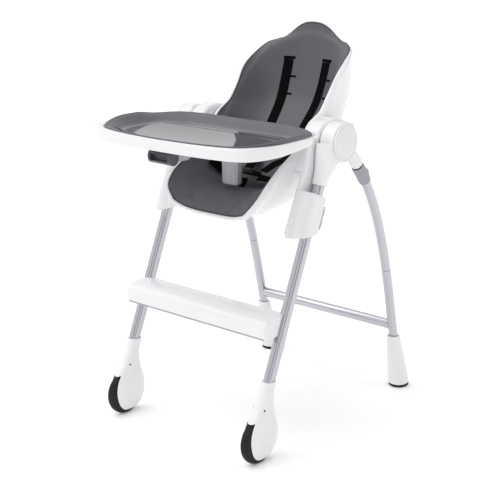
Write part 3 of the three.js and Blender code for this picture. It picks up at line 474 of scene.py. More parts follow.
def weave(material, pitch, strength):
    """A ribbed herringbone of yarns, from the band's length map."""
    links = material.node_tree.links
    place = add_node(material, "UVMap")
    place.uv_map = "length_map"
    waves = []
    for turn in (0.72, -0.72):
        rotate = add_node(material, "Mapping", Rotation=(0, 0, turn))
        wave = add_node(material, "TexWave", Scale=0.314 / (pitch * MM))
        links.new(place.outputs["UV"], rotate.inputs["Vector"])
        links.new(rotate.outputs["Vector"], wave.inputs["Vector"])
        waves.append(wave)
    both = add_node(material, "Math")
    both.operation = "MULTIPLY"
    links.new(waves[0].outputs["Fac"], both.inputs[0])
    links.new(waves[1].outputs["Fac"], both.inputs[1])
    return add_bump(material, both.outputs["Value"], strength, 0.0006)


WHITE = (0.80, 0.80, 0.81)
gloss_white = grain(
    surface("gloss_white", WHITE, 0.24, vary=0.012, rough_vary=0.05, Coat_Weight=0.25, Coat_Roughness=0.12),
    900, 0.02)
satin_cap = grain(surface("satin_cap", (0.76, 0.76, 0.77), 0.38, vary=0.02), 1400, 0.08)
collar_grey = grain(surface("collar_grey", (0.33, 0.33, 0.37), 0.45), 1600, 0.12)
post_grey = grain(surface("post_grey", (0.36, 0.36, 0.38), 0.36), 1200, 0.06)
lever_grey = grain(surface("lever_grey", (0.055, 0.056, 0.066), 0.34), 1200, 0.08)
tray_grey = grain(surface("tray_grey", (0.105, 0.105, 0.118), 0.20), 700, 0.015)

# The flat floor of the lift-out tray is polished, and its walls and rim are satin.
links = tray_grey.node_tree.links
height = add_node(tray_grey, "SeparateXYZ")
polish = add_node(tray_grey, "MapRange", From_Min=0.7975, From_Max=0.8015, To_Min=0.04, To_Max=0.40)
links.new(add_node(tray_grey, "TexCoord").outputs["Object"], height.inputs["Vector"])
links.new(height.outputs["Z"], polish.inputs["Value"])
links.new(polish.outputs["Result"], tray_grey.node_tree.nodes["Principled BSDF"].inputs["Roughness"])
pad_leather = leather_grain(
    grain(surface("pad_leather", (0.092, 0.093, 0.106), 0.46, vary=0.05, rough_vary=0.05, Sheen_Weight=0.12,
                  Sheen_Roughness=0.4), 60, 0.25, 0.0012), 1.3, 0.22)
piping_leather = leather_grain(surface("piping_leather", (0.030, 0.030, 0.034), 0.5), 1.1, 0.2)
black_webbing = weave(
    surface("black_webbing", (0.0025, 0.0025, 0.003), 0.8, vary=0.25, patch=220.0, Specular_IOR_Level=0.06),
    1.6, 0.6)
# Near-black for the thin sheets over the strap slots: painted shade of the openings.
slot_dark = grain(surface("slot_dark", (0.0025, 0.0025, 0.003), 0.8, Specular_IOR_Level=0.05), 900, 0.2)
tyre_rubber = grain(
    surface("tyre_rubber", (0.006, 0.006, 0.0065), 0.6, rough_vary=0.1, Specular_IOR_Level=0.3), 1500, 0.35)
sole_rubber = grain(surface("sole_rubber", (0.006, 0.006, 0.0065), 0.66, Specular_IOR_Level=0.3), 1300, 0.3)
buckle_black = grain(surface("buckle_black", (0.012, 0.012, 0.013), 0.36), 1200, 0.1)
satin_tube = drawn_lines(
    surface("satin_tube", (0.52, 0.517, 0.555), 0.21, metallic=1.0, vary=0.01, rough_vary=0.03), 900, 0.03)
plain_steel = grain(surface("plain_steel", (0.45, 0.45, 0.47), 0.34, metallic=1.0), 800, 0.1)


# ---------------------------------------------------------------- front legs, hubs and castors


def grooved_tube():
    """The leg's oval section, with a shallow groove down each of its wide sides."""
    section = oval(LEG_HALF_WIDTH, LEG_HALF_DEPTH, 96, LEG_POWER)
    side = np.sign(section[:, 0])
    depth = 0.5 * np.exp(-((section[:, 1] - 1.0) / 2.2) ** 2)
    middle = 0.5 * np.exp(-((section[:, 0]) / 2.6) ** 2)
    section[:, 0] -= side * depth
    section[:, 1] -= np.sign(section[:, 1]) * middle
    return section


def front_leg():
    section = grooved_tube()
    heights = np.linspace(LEG_BOTTOM, LEG_TOP, 24)
    inner = section * ((LEG_HALF_WIDTH - TUBE_WALL) / LEG_HALF_WIDTH)
    rings = [leg_ring(section, z) for z in heights] + [leg_ring(inner, z) for z in heights[::-1]]
    return loft("front_leg_tube_right", rings, looped=True)


def hub_housing():
    """The round hub and the sleeve that runs down the leg, with the slot the rear leg turns in."""
    rounding = 9
    turn = np.linspace(0, math.pi / 2, 7)
    profile = [(2, HUB_INNER)]
    profile += [(HUB_RADIUS - rounding * (1 - math.sin(a)), HUB_INNER + rounding * (1 - math.cos(a)))
                for a in turn]
    profile += [(HUB_RADIUS - 3 * (1 - math.cos(a)), HUB_OUTER - 3 * (1 - math.sin(a))) for a in turn]
    profile += [(2, HUB_OUTER)]
    drum = lathe("drum", HUB_Y, HUB_Z, profile, 96)
    sleeve_rows = [
        (SLEEVE_BOTTOM, 16.2, 18.5, 2.4), (678, 17.4, 19.6, 2.4), (694, 18.4, 20.8, 2.5),
        (712, 20.0, 25.0, 2.7), (728, 21.0, 31.5, 3.0), (746, 21.6, 40.0, 3.2), (764, 21.8, 46.0, 3.4),
    ]
    rings = []
    for z, half_x, half_y, power in smooth_through(sleeve_rows, 20):
        rings.append(leg_ring(oval(half_x, half_y, 64, power), z, LEG_X + 5.0 * max(0, (z - 690) / 74)))
    sleeve = loft("sleeve", rings)
    slot = slab("slot", rounded([(-62, 820, 10), (40, 838, 10), (40, 690, 10), (-26, 690, 6), (-32, 720, 8),
                                 (-64, 744, 8)]), 226.5, 254.5, 1)
    return moulded("hub_and_sleeve_right", [drum, sleeve], [slot, leg_bore(0.5, 640, 724)], 1.5, 8)


def hub_cap():
    """A flat disc with a fine ring near its edge."""
    face = CAP_OUTER
    profile = [
        (1, CAP_INNER), (CAP_RADIUS - 1.5, CAP_INNER), (CAP_RADIUS, CAP_INNER + 1.4), (CAP_RADIUS, face - 2.2),
        (CAP_RADIUS - 0.7, face - 0.7), (CAP_RADIUS - 2.4, face), (44.2, face), (43.8, face - 0.9),
        (43.2, face - 0.9), (42.8, face), (30, face + 0.4), (15, face + 0.7), (1, face + 0.8),
    ]
    return lathe("hub_disc_right", HUB_Y, HUB_Z, profile, 128, sharp=30)


def castor_housing():
    """The teardrop that flows up from the wheel to the leg."""
    rows = smooth_through(POD_SECTIONS, 72)
    rings = []
    for z, y, half_y, half_x in rows:
        power = 2.3 + 0.5 * math.exp(-((z - 80) / 45) ** 2)
        section = oval(half_x, half_y, 96, power)
        rings.append(np.stack([CASTOR_X + section[:, 0], y + section[:, 1], np.full(96, z)], 1))
    shell = loft("pod", rings)
    wheel_room = lathe("room", WHEEL_Y, WHEEL_RADIUS, [
        (1, CASTOR_X - CASTOR_SLOT / 2), (WHEEL_RADIUS + 3, CASTOR_X - CASTOR_SLOT / 2),
        (WHEEL_RADIUS + 3, CASTOR_X + CASTOR_SLOT / 2), (1, CASTOR_X + CASTOR_SLOT / 2)])
    shell.name = "castor_pod_right"
    return carved(shell, [wheel_room, leg_bore(0.5, 184, 222)])


def castor_screw():
    """The small dark screw through the housing above the wheel."""
    reach = 18.7
    return lathe("castor_screw_head_right", SCREW_Y, SCREW_Z, [
        (0.6, CASTOR_X - reach), (2.2, CASTOR_X - reach), (2.6, CASTOR_X - reach + 0.5),
        (2.6, CASTOR_X + reach - 0.5), (2.2, CASTOR_X + reach), (0.6, CASTOR_X + reach)], 24)


def tyre():
    """Rubber with a round tread, a shallow groove either side and a lip against the wheel."""
    half = WHEEL_WIDTH / 2 - 0.2
    outer = [(WHEEL_RADIUS - 7 * (1 - math.cos(a)), CASTOR_X + half * math.sin(a))
             for a in np.linspace(-1.35, 1.35, 25)]
    grooved = [(r - 0.8 * math.exp(-((abs(x - CASTOR_X) - 4.5) / 0.8) ** 2), x) for r, x in outer]
    inner = WHEEL_HUB + 0.3
    profile = [(inner, CASTOR_X - half + 1), (inner + 4, CASTOR_X - half)] + grooved
    profile += [(inner + 4, CASTOR_X + half), (inner, CASTOR_X + half - 1)]
    return lathe("tyre_right", WHEEL_Y, WHEEL_RADIUS, profile, 128, looped=True, sharp=50)


def wheel():
    """A dished wheel with a thin web between its rim and its boss."""
    half = 9.5
    profile = [
        (4.6, CASTOR_X - half), (9, CASTOR_X - half), (10, CASTOR_X - half + 1), (10, CASTOR_X - 4),
        (31, CASTOR_X - 4), (32, CASTOR_X - half + 1), (33, CASTOR_X - half), (WHEEL_HUB, CASTOR_X - half),
        (WHEEL_HUB, CASTOR_X + half), (33, CASTOR_X + half), (32, CASTOR_X + half - 1), (31, CASTOR_X + 4),
        (10, CASTOR_X + 4), (10, CASTOR_X + half - 1), (9, CASTOR_X + half), (4.6, CASTOR_X + half),
    ]
    return lathe("castor_wheel_hub_right", WHEEL_Y, WHEEL_RADIUS, profile, 96, looped=True)


def footrest_underside_shade():
    """A grey strip along the footrest's lower front edge: painted shade of the bar's underside."""
    outline = rounded([(-317.8, 327, 1.5), (-318.2, 318, 3), (-304, 313.2, 3), (-262, 317, 2), (-262, 320, 1),
                       (-303, 318, 2), (-316, 321, 2)], 5)
    return slab("footrest_painted_underside_shade", outline, -236, 236, 0.4)


def footrest():
    """The moulded bar the child's feet rest on, with faint tread lines along its top."""
    corners = [
        (-319, 320, 10), (-318, 356, 24), (-300, 370, 26), (-262, 371, 20), (-230, 368, 8), (-222, 356, 7),
        (-224, 330, 7), (-232, 322, 7), (-262, 318, 20), (-304, 313, 9),
    ]
    outline = rounded(corners, 8)
    rings = []
    half = FOOTREST_HALF
    ends = [(-half + inset, share) for inset, share in ((0, 0.93), (0.8, 0.965), (2.2, 0.985), (4.5, 1.0))]
    middle = outline.mean(0)
    stations = ends + [(x, 1.0) for x in np.linspace(-half + 14, half - 14, 21)]
    stations += [(-x, s) for x, s in ends[::-1]]
    for x, share in stations:
        flat = middle + (outline - middle) * share
        rings.append(np.concatenate([np.full((len(flat), 1), x), flat], 1))
    bar = loft("bar", rings)
    lines = []
    for y in np.linspace(-298, -240, 9):
        top = FOOTREST_TOP - 0.0060 * (y + 258) ** 2 * (1 if y < -258 else 0.6)
        line = [(y - 0.7, top + 3), (y + 0.7, top + 3), (y + 0.35, top - 0.9), (y - 0.35, top - 0.9)]
        lines.append(slab("line", line, -196, 196, 0.2))
    return bar, lines


# ---------------------------------------------------------------- rear legs


def rear_rings(radius, start, end, count, sides=64):
    line = bezier_line(REAR_PATH, start, end, count, REAR_X)
    return swept(line, [oval(radius, radius, sides)] * count)


def rear_leg_tubes():
    """Two round tubes with a seam between them. The lower one runs straight down into the boot."""
    upper_line = bezier_line(REAR_PATH, 0.005, REAR_SEAM, 40, REAR_X)
    lower_line = bezier_line(REAR_PATH, REAR_SEAM + 0.002, 1, 24, REAR_X)
    end = np.array([[REAR_X, boot_y(z), z] for z in (130, 95, 60)])
    tubes = []
    for name, line, edge in (("upper", upper_line, -1), ("lower", np.concatenate([lower_line, end]), 0)):
        count = len(line)
        radii = np.full(count, float(REAR_RADIUS))
        radii[edge] -= 0.7
        outer = swept(line, [oval(r, r, 64) for r in radii])
        inner = swept(line, [oval(r - TUBE_WALL, r - TUBE_WALL, 64) for r in radii])
        tubes.append(loft(f"rear_tube_{name}_right", outer + inner[::-1], looped=True))
    return tubes


def out_of_curve(t):
    """The point, direction along and direction out of the underside of the rear leg's curve."""
    at = np.array([REAR_X, *bezier(REAR_PATH, t)])
    along = unit(np.array([0, *(bezier(REAR_PATH, t + 0.01) - bezier(REAR_PATH, t - 0.01))]))
    return at, along, np.cross([1.0, 0, 0], along)


def knob(name, t, profile, sides=48):
    """A round button standing out of the curve's underside, from a profile of (radius, distance)."""
    at, along, out = out_of_curve(t)
    turn = np.arange(sides) / sides * 2 * math.pi
    rings = [at + out * distance + r * (np.cos(turn)[:, None] * np.array([1.0, 0, 0])
                                        + np.sin(turn)[:, None] * along) for r, distance in profile]
    return loft(name, rings)


def fold_collar():
    stations = [(0.004, 16.4), (0.008, 17.2), (0.02, 17.3), (0.05, 17.3), (0.085, 17.2), (0.1, 17.0),
                (0.108, 16.4), (0.116, 15.9), (0.118, 14.8)]
    t = np.concatenate([np.linspace(a[0], b[0], 4)[:-1] for a, b in zip(stations, stations[1:])] + [[0.118]])
    r = np.interp(t, [s[0] for s in stations], [s[1] for s in stations])
    line = np.array([[REAR_X, *bezier(REAR_PATH, k)] for k in t])
    body = loft("collar", swept(line, [oval(k, k, 72) for k in r]))
    boss = knob("boss", COLLAR_BUTTON_AT, [(11, 6), (11, 17.5), (10.4, 18.6), (9.2, 19.0)])
    bore = loft("bore", rear_rings(REAR_RADIUS + 0.4, -0.03, 0.15, 8))
    well = knob("well", COLLAR_BUTTON_AT, [(8.5, REAR_RADIUS + 1), (8.5, 40)])
    return moulded("fold_collar_body_right", [body, boss], [bore, well], 1.0, 4)


def rear_socket():
    """The arm that turns in the hub's slot and takes the tube at its lower end."""
    half = 12.8
    eye = lathe("eye", HUB_Y, HUB_Z, [(1, REAR_X - half), (21.5, REAR_X - half), (23, REAR_X - half + 1.5),
                                      (23, REAR_X + half - 1.5), (21.5, REAR_X + half), (1, REAR_X + half)], 64)
    rows = [(0, half, 19), (0.3, half, 18), (0.5, half, 17), (0.7, 14.5, 16), (0.96, 16, 16), (0.985, 15, 15)]
    t = np.linspace(0, 0.985, 34)
    line = np.array([[REAR_X, *bezier(REAR_ARM_PATH, k)] for k in t])
    sections = [oval(np.interp(k, [r[0] for r in rows], [r[1] for r in rows]),
                     np.interp(k, [r[0] for r in rows], [r[2] for r in rows]), 56, 2.4) for k in t]
    arm = loft("arm", swept(line, sections))
    pin = lathe("pin", HUB_Y, HUB_Z, [(PIN_RADIUS, REAR_X - 20), (PIN_RADIUS, REAR_X + 20)], 32)
    return moulded("rear_socket_arm_right", [eye, arm], [pin], 1.2, 6)


def boot_ring(z, half_x, half_y, power=2.2):
    section = oval(half_x, half_y, 72, power)
    return np.stack([REAR_X + section[:, 0], boot_y(z) + section[:, 1], np.full(72, z)], 1)


def rear_boot():
    rows = [(9.3, 26.6, 29.6), (11, 27.5, 30.5), (23, 27.5, 30.5), (46, 26.6, 29.2), (70, 25.5, 27.5),
            (98, 23.4, 25), (120, 21.5, 23), (143, 19.6, 20.6), (158, 18.6, 19.2), (163, 18.2, 18.8),
            (165, 17.2, 17.7)]
    body = loft("body", [boot_ring(*row) for row in smooth_through(rows, 50)])
    bore_line = [[REAR_X, boot_y(z), z] for z in (58, 110, 170, 200)]
    bore = loft("bore", swept(bore_line, [oval(REAR_RADIUS + 0.4, REAR_RADIUS + 0.4, 64)] * 4))
    body.name = "rear_boot_right"
    return carved(body, [bore])


def rear_sole():
    base = 27.5
    rows = [(0.2, base - 3.4, base - 0.4), (0.8, base - 2, base + 1), (2.4, base - 0.5, base + 2.5),
            (7.6, base - 0.5, base + 2.5), (9.0, base - 1.4, base + 1.6)]
    return loft("rear_foot_sole_right", [boot_ring(*row) for row in rows])


def crossbar():
    r = CROSSBAR_RADIUS
    reach = REAR_X - 5
    stations = np.linspace(-reach, reach, 25)
    turn = np.arange(64) / 64 * 2 * math.pi

    def ring(radius, x):
        y, z = CROSSBAR_Y + radius * np.cos(turn), CROSSBAR_Z + radius * np.sin(turn)
        return np.stack([np.full(64, x), y, z], 1)

    rings = [ring(r, x) for x in stations] + [ring(r - TUBE_WALL, x) for x in stations[::-1]]
    bar = loft("crossbar_tube", rings, looped=True)
    room = loft("room", rear_rings(REAR_RADIUS + 0.5, 0.78, 0.995, 12))
    return carved(bar, [twin(room, "room_left"), room])


# ---------------------------------------------------------------- height carriages


def carriage():
    """The side plate behind the hub, the round-ended armrest above it and the block on the leg."""
    plate = slab("plate", rounded([(-208, 560, 8), (-121, 743, 30), (-113, 790, 10), (-20, 795, 10),
                                   (-34, 730, 30), (-112, 590, 12)], 10), 207, 221, 3)
    arm = slab("arm", rounded([(-86, 770, 12), (64, 770, 16), (86, 801, 14), (26, 821, 30), (-10, 832, 24),
                               (-58, 823, 26), (-84, 801, 20)], 10), 173, 221, 10)
    near, far = 213 - LEG_X, 261 - LEG_X
    section = rounded([(near, -55, 5), (near + 17, -56, 10), (far - 2, -36, 22), (far, -5, 12), (far, 21, 12),
                       (near, 21, 5)], 10)
    middle = section.mean(0)
    rings = []
    for z, share in ((500, 1), (560, 1), (600, 1), (641, 1), (646, 0.985), (649, 0.95), (650, 0.90)):
        rings.append(leg_ring(middle + (section - middle) * share, z))
    block = loft("block", rings)
    below = slab("below", [(-400, 400), (200, 400), (200, 556), (-400, 556)], 150, 300, 0.2)
    pocket = slab("pocket", [(-116, 785.7), (44, 785.7), (44, 800.3), (-116, 800.3)], 183.7, 206.3, 0.2)
    trigger = np.array([(3.6, 16.5), (22.4, 16.5), (22.4, 42), (3.6, 42)])
    window = loft("window", [leg_ring(trigger, z) for z in (571, 631)])
    pin = lathe("pin", PIVOT_Y, PIVOT_Z, [(PIN_RADIUS, 202), (PIN_RADIUS, 219)], 32)
    cutters = [below, leg_bore(0.4, 470, 560, 700), pocket, window, pin]
    return moulded("height_carriage_body_right", [plate, arm, block], cutters, 1.5, 5)


def trigger():
    """Two soft lobes that stand out of the back of the block."""
    rings = []
    for z in np.linspace(573, 629, 41):
        lobe = max(math.exp(-((z - 587) / 9.5) ** 4), math.exp(-((z - 615) / 9.5) ** 4))
        out = 20.6 + 5.2 * lobe
        section = rounded([(4.2, 19.6, 0.3), (21.8, 19.6, 0.3), (21.8, out, 3), (4.2, out, 3)], 6)
        rings.append(leg_ring(section, z))
    return loft("height_trigger_lobes_right", rings)


# ---------------------------------------------------------------- seat

GRID_STEP = 6
COLUMNS = 64
SETTLE_FRAMES = 20
ROWS = (len(PAD_ROWS) - 1) * GRID_STEP + 1


def row_points(row):
    """A row's points, spread evenly along its own length."""
    middle_y, middle_z, edge_x, edge_y, edge_z, power = row
    share = np.sin(np.linspace(-1, 1, 401) * math.pi / 2)
    reach = np.abs(share)
    bell = 0.85 * (1 - np.cos(math.pi * reach ** 1.3)) / 2 + 0.15 * reach ** 2
    rise = reach ** power if power else bell
    y, z = middle_y + (edge_y - middle_y) * rise, middle_z + (edge_z - middle_z) * rise
    line = np.stack([edge_x * share, y, z], 1)
    run = np.concatenate([[0], np.cumsum(np.linalg.norm(np.diff(line, axis=0), axis=1))])
    even = np.linspace(0, run[-1], COLUMNS + 1)
    return np.stack([np.interp(even, run, line[:, k]) for k in range(3)], 1)


def fine_grid(rows):
    rows = np.array(rows)
    flat = smooth_through(rows.reshape(len(rows), -1), (len(rows) - 1) * GRID_STEP + 1)
    return flat.reshape(-1, rows.shape[1], 3)


def grid_normals(grid):
    along = np.gradient(grid, axis=0)
    across = np.gradient(grid, axis=1)
    return unit(np.cross(across, along))


pad_grid = fine_grid([row_points(row) for row in PAD_ROWS])
pad_normals = grid_normals(pad_grid)
if pad_normals[ROWS // 2, COLUMNS // 2, 2] > 0:
    pad_normals = -pad_normals


def border_indices():
    loop = [(0, j) for j in range(COLUMNS)] + [(i, COLUMNS) for i in range(ROWS - 1)]
    loop += [(ROWS - 1, j) for j in range(COLUMNS, 0, -1)] + [(i, 0) for i in range(ROWS - 1, 0, -1)]
    return np.array(loop)


BORDER = border_indices()


def edge_ring(outward, depth, front_extra=0.0):
    """A ring round the seat's edge, moved outwards in the surface and down through it."""
    points = pad_grid[BORDER[:, 0], BORDER[:, 1]]
    normals = pad_normals[BORDER[:, 0], BORDER[:, 1]]
    tangent = np.roll(points, -1, 0) - np.roll(points, 1, 0)
    for _ in range(3):
        tangent = tangent + np.roll(tangent, 1, 0) + np.roll(tangent, -1, 0)
    out = unit(np.cross(normals, unit(tangent)))
    if np.sum(out * (points - points.mean(0))) < 0:
        out = -out
    reach = outward + front_extra * np.maximum(0, (BORDER[:, 0] / GRID_STEP - 12) / 3)
    return points + out * reach[:, None] + normals * depth


def layered(name, top, bottom, rings, sharp=50):
    """A closed skin made of a top grid, rings down its edge and a bottom grid."""
    count = ROWS * (COLUMNS + 1)
    points = [top.reshape(-1, 3), bottom.reshape(-1, 3)] + [np.array(ring) for ring in rings]
    index = np.arange(count).reshape(ROWS, COLUMNS + 1)
    a, b, c, d = index[:-1, :-1], index[:-1, 1:], index[1:, 1:], index[1:, :-1]
    quads = np.stack([a, b, c, d], -1).reshape(-1, 4)
    faces = quads.tolist() + (quads[:, ::-1] + count).tolist()
    border = BORDER[:, 0] * (COLUMNS + 1) + BORDER[:, 1]
    loops = [border] + [2 * count + k * len(border) + np.arange(len(border)) for k in range(len(rings))]
    loops.append(border + count)
    for one, two in zip(loops, loops[1:]):
        following = np.stack([one, two, np.roll(two, -1), np.roll(one, -1)], -1)
        faces += following.tolist()
    return mesh_object(name, np.concatenate(points), faces, sharp=sharp)


def settle(obj, pinned, pressure, cap):
    """The padding pushes its cover out: a pinned cloth with pressure, with its movement capped in mm."""
    rest = np.array([v.co for v in obj.data.vertices])
    held = obj.vertex_groups.new(name="held")
    held.add([int(i) for i in pinned], 1.0, "REPLACE")
    copy = obj.copy()
    copy.data = obj.data.copy()
    bpy.context.scene.collection.objects.link(copy)
    cloth = copy.modifiers.new("cover", "CLOTH")
    settings = cloth.settings
    settings.quality, settings.mass = 6, 0.3
    settings.tension_stiffness = settings.compression_stiffness = 30
    settings.bending_stiffness = 2
    settings.use_pressure = True
    settings.uniform_pressure_force = pressure
    settings.effector_weights.gravity = 0
    settings.vertex_group_mass = "held"
    cloth.point_cache.frame_start = 1
    cloth.point_cache.frame_end = SETTLE_FRAMES
    scene = bpy.context.scene
    for step in range(1, SETTLE_FRAMES + 1):
        scene.frame_set(step)
    evaluated = copy.evaluated_get(bpy.context.evaluated_depsgraph_get())
    moved = np.array([v.co for v in evaluated.data.vertices])
    scene.frame_set(1)
    shift = moved - rest
    size = np.linalg.norm(shift, axis=1, keepdims=True)
    limit = cap * MM
    shift *= np.where(size > 0, limit * np.tanh(size / limit) / np.maximum(size, 1e-9), 0)
    obj.data.vertices.foreach_set("co", (rest + shift).astype(np.float32).ravel())
    obj.data.update()
    bpy.data.objects.remove(copy)
    obj.vertex_groups.clear()


def seat_pad():
    """The upholstered liner: a thin stuffed sheet held all round by its sewn edge."""
    swell = (np.sin(np.linspace(0, math.pi, COLUMNS + 1)) ** 0.35
             * np.sin(np.linspace(0, math.pi, ROWS))[:, None] ** 0.3)
    top = pad_grid - pad_normals * (1.6 * swell)[..., None]
    bottom = pad_grid + pad_normals * PAD_THICKNESS
    rings = [edge_ring(0.7, 0.4), edge_ring(1.4, 2), edge_ring(1.5, PAD_THICKNESS - 2),
             edge_ring(0.8, PAD_THICKNESS - 0.5)]
    pad = layered("seat_liner", top, bottom, rings)
    count = ROWS * (COLUMNS + 1)
    border = BORDER[:, 0] * (COLUMNS + 1) + BORDER[:, 1]
    pinned = np.concatenate([np.arange(count, 2 * count + len(rings) * len(BORDER)), border])
    settle(pad, pinned, 4.0, 2.0)
    soften(pad, 60)
    return pad


def piping():
    """The bead sewn round the liner's edge."""
    centre = edge_ring(0.9, 0.6)
    tangent = unit(np.roll(centre, -1, 0) - np.roll(centre, 1, 0))
    normals = pad_normals[BORDER[:, 0], BORDER[:, 1]]
    side = unit(np.cross(tangent, normals))
    up = np.cross(side, tangent)
    turn = np.arange(10) / 10 * 2 * math.pi
    bead = 1.7
    rings = [c + bead * (np.cos(turn)[:, None] * s + np.sin(turn)[:, None] * u)
             for c, s, u in zip(centre, side, up)]
    return loft("seat_liner_piping", rings, looped=True)


def shell_body():
    """The deep thin shell whose rounded lip frames the liner, wider round the front."""
    rim = edge_ring(4.5, 15.5, 3.5)
    at = {tuple(key): point for key, point in zip(BORDER.tolist(), rim)}
    rows = [np.array([at[(0, j)] for j in range(COLUMNS + 1)])]
    for k, (y, z, power) in enumerate(SHELL_ROWS, start=1):
        x, edge_y, edge_z = at[(k * GRID_STEP, COLUMNS)]
        rows.append(row_points((y, z, x, edge_y, edge_z, power)))
    rows.append(np.array([at[(ROWS - 1, j)] for j in range(COLUMNS + 1)]))
    outside = fine_grid(rows)
    border = (BORDER[:, 0], BORDER[:, 1])
    outside[border] = rim
    normals = grid_normals(outside)
    if normals[ROWS // 2, COLUMNS // 2, 2] > 0:
        normals = -normals
    inside = outside - normals * 3.5
    inside[border] = edge_ring(3, 12, 2)
    steps = [(1.9, 11, 0), (1.9, 3, 0), (2.3, 1.6, 0), (3.2, 0.8, 0.4), (4.6, 0.9, 2), (5.7, 2.0, 3.7),
             (6.4, 4.0, 4), (6.6, 7, 4), (6.4, 10, 4)]
    smooth = []
    for (a, b, c), (d, e, f) in zip(steps, steps[1:]):
        smooth += [edge_ring(a, b, c), edge_ring((a + d) / 2, (b + e) / 2, (c + f) / 2)]
    shell = layered("seat_shell_body", inside, outside, smooth + [edge_ring(*steps[-1])])
    return shell


def on_pad(row, x, lift):
    """A point lifted off the liner at distance x from the middle, with the way out of the liner there."""
    def at(r, side):
        middle_y, middle_z, edge_x, edge_y, edge_z, power = smooth_through(PAD_ROWS, 1501)[int(round(r * 100))]
        rise = abs(side / edge_x) ** power
        return np.array([side, middle_y + (edge_y - middle_y) * rise, middle_z + (edge_z - middle_z) * rise])
    across = at(row, x + 4) - at(row, x - 4)
    along = at(row + 0.2, x) - at(row - 0.2, x)
    normal = unit(np.cross(along, across))
    return at(row, x) + normal * lift, normal


def strap(name, path, width=WEBBING_WIDTH, thickness=WEBBING_THICKNESS):
    """A flat woven band along [(point, normal)], with thin rolled edges."""
    rows = smooth_through([np.concatenate([p, n]) for p, n in path], 12 * len(path))
    points, normals = rows[:, :3], unit(rows[:, 3:])
    along = unit(np.gradient(points, axis=0))
    across = unit(np.cross(along, normals))
    up = np.cross(across, along)
    half, thin = width / 2, thickness / 2
    section = [(-half, 0), (-half + 0.5, thin * 0.9), (-half + 2, thin * 0.8), (-half + 3, thin), (0, thin),
               (half - 3, thin), (half - 2, thin * 0.8), (half - 0.5, thin * 0.9), (half, 0),
               (half - 0.5, -thin * 0.9), (half - 3, -thin), (0, -thin), (-half + 3, -thin),
               (-half + 0.5, -thin * 0.9)]
    rings = [p + np.array([u * a + v * b for u, v in section]) for p, a, b in zip(points, across, up)]
    return loft(name, rings, sharp=80)


def straps():
    lying = [(2.6, 65), (3.2, 64.5), (3.9, 64), (4.6, 62.5), (5.3, 60.5), (6, 58), (6.8, 55), (7.6, 51),
             (8.3, 47)]
    path = [on_pad(row, x, 4.8) for row, x in lying]
    path += [(np.array([38.0, -22, 690]), unit(np.array([0, -0.35, 0.94]))),
             (np.array([27.0, -62, 672]), unit(np.array([0, -0.35, 0.94])))]
    shoulder = strap("shoulder_webbing_right", path)
    waist_path = [on_pad(10.2, x, lift) for x, lift in ((130, 10), (124, 12), (116, 12.5), (106, 11), (88, 10))]
    waist_path += [(np.array([54.0, -84, 660]), unit(np.array([0.15, -0.2, 0.97]))),
                   (np.array([30.0, -88, 661]), unit(np.array([0, -0.35, 0.94])))]
    waist = strap("waist_webbing_right", waist_path)
    crotch = strap("crotch_webbing", [(np.array([0.0, y, z]), unit(np.array([0, -0.85, 0.5])))
                                      for y, z in ((-128, 640.5), (-122, 645), (-116, 652), (-110, 660))])
    return shoulder, waist, crotch


def patch(pad, name, row_from, row_to, x_from, x_to, lift=0.5, edge=1.2):
    """A thin dark sheet on the liner between two rows and two distances from the middle: painted shade where a
    strap's slot opens.
    """
    corners = rounded([(row_from, x_from, 0), (row_to, x_from, 0), (row_to, x_to, 0), (row_from, x_to, 0)], 2)
    lined = []
    for a, b in zip(corners, np.roll(corners, -1, 0)):
        lined += [a + (b - a) * k / 5 for k in range(5)]
    tops, under = [], []
    for row, x in lined:
        point, normal = on_pad(row, x, 0)
        found, place, _, _ = pad.closest_point_on_mesh(Vector(to_frame(point)))
        surface_point = np.array(place) / MM - np.array([0, CENTRE_SHIFT, 0]) if found else point
        tops.append(surface_point + normal * lift)
        under.append(surface_point - normal * edge)
    return loft(name, [under, tops], sharp=60)


def buckle():
    """A flat shell with a round-cornered well for its release button."""
    outline = rounded([(-25, -7.5, 5), (21, -7.5, 5), (21, 7.5, 5), (-25, 7.5, 5)], 8)
    body = slab("buckle_body", outline, -26, 26, 4)
    ridge = slab("ridge", rounded([(-21, 2, 4), (12, 2, 4), (9, 9.4, 4), (-19, 9.4, 4)], 8), -17, 17, 3)
    well = slab("well", rounded([(-14, 3, 2), (6, 3, 2), (6, 20, 2), (-14, 20, 2)]), -9.6, 9.6, 0.5)
    return moulded("harness_buckle_body", [body, ridge], [well], 0.9, 3)


def buckle_button():
    return slab("buckle_release", rounded([(-13.5, 5.4, 1), (5.6, 5.4, 1), (5.6, 9.2, 2), (-13.5, 9.2, 2)]),
                -9.2, 9.2, 1.2)


def tilt_to_buckle(obj):
    """Moves a piece drawn at the origin to the buckle's place."""
    shift = Vector((0, CENTRE_SHIFT * MM, 0))
    place = Matrix.Translation(shift + Vector((0, BUCKLE_Y * MM, BUCKLE_Z * MM)))
    obj.data.transform(place @ Matrix.Rotation(BUCKLE_TILT, 4, "X") @ Matrix.Translation(-shift))
    return obj


# ---------------------------------------------------------------- tray


def tray_outline():
    right = TRAY_OUTLINE[1:-1]
    loop = [TRAY_OUTLINE[0]] + right + [TRAY_OUTLINE[-1]] + [(-x, y, c) for x, y, c in right[::-1]]
    return smooth_through(loop, 208, closed=True)


OUTLINE = tray_outline()


def tray_ring(inset, height, opening=True):
    """The tray's outline moved inwards, at a height given as a number or by a function of x and y."""
    flat = OUTLINE[:, :2]
    along = unit(np.roll(flat, -1, 0) - np.roll(flat, 1, 0))
    step = inset + (OUTLINE[:, 2] if opening else 0)
    x = flat[:, 0] - along[:, 1] * step
    y = flat[:, 1] + along[:, 0] * step
    z = height(x, y) if callable(height) else np.full(len(x), float(height))
    return np.stack([x, y, z], 1)


def step_up(value, low, high):
    t = np.clip((value - low) / (high - low), 0, 1)
    return t * t * (3 - 2 * t)


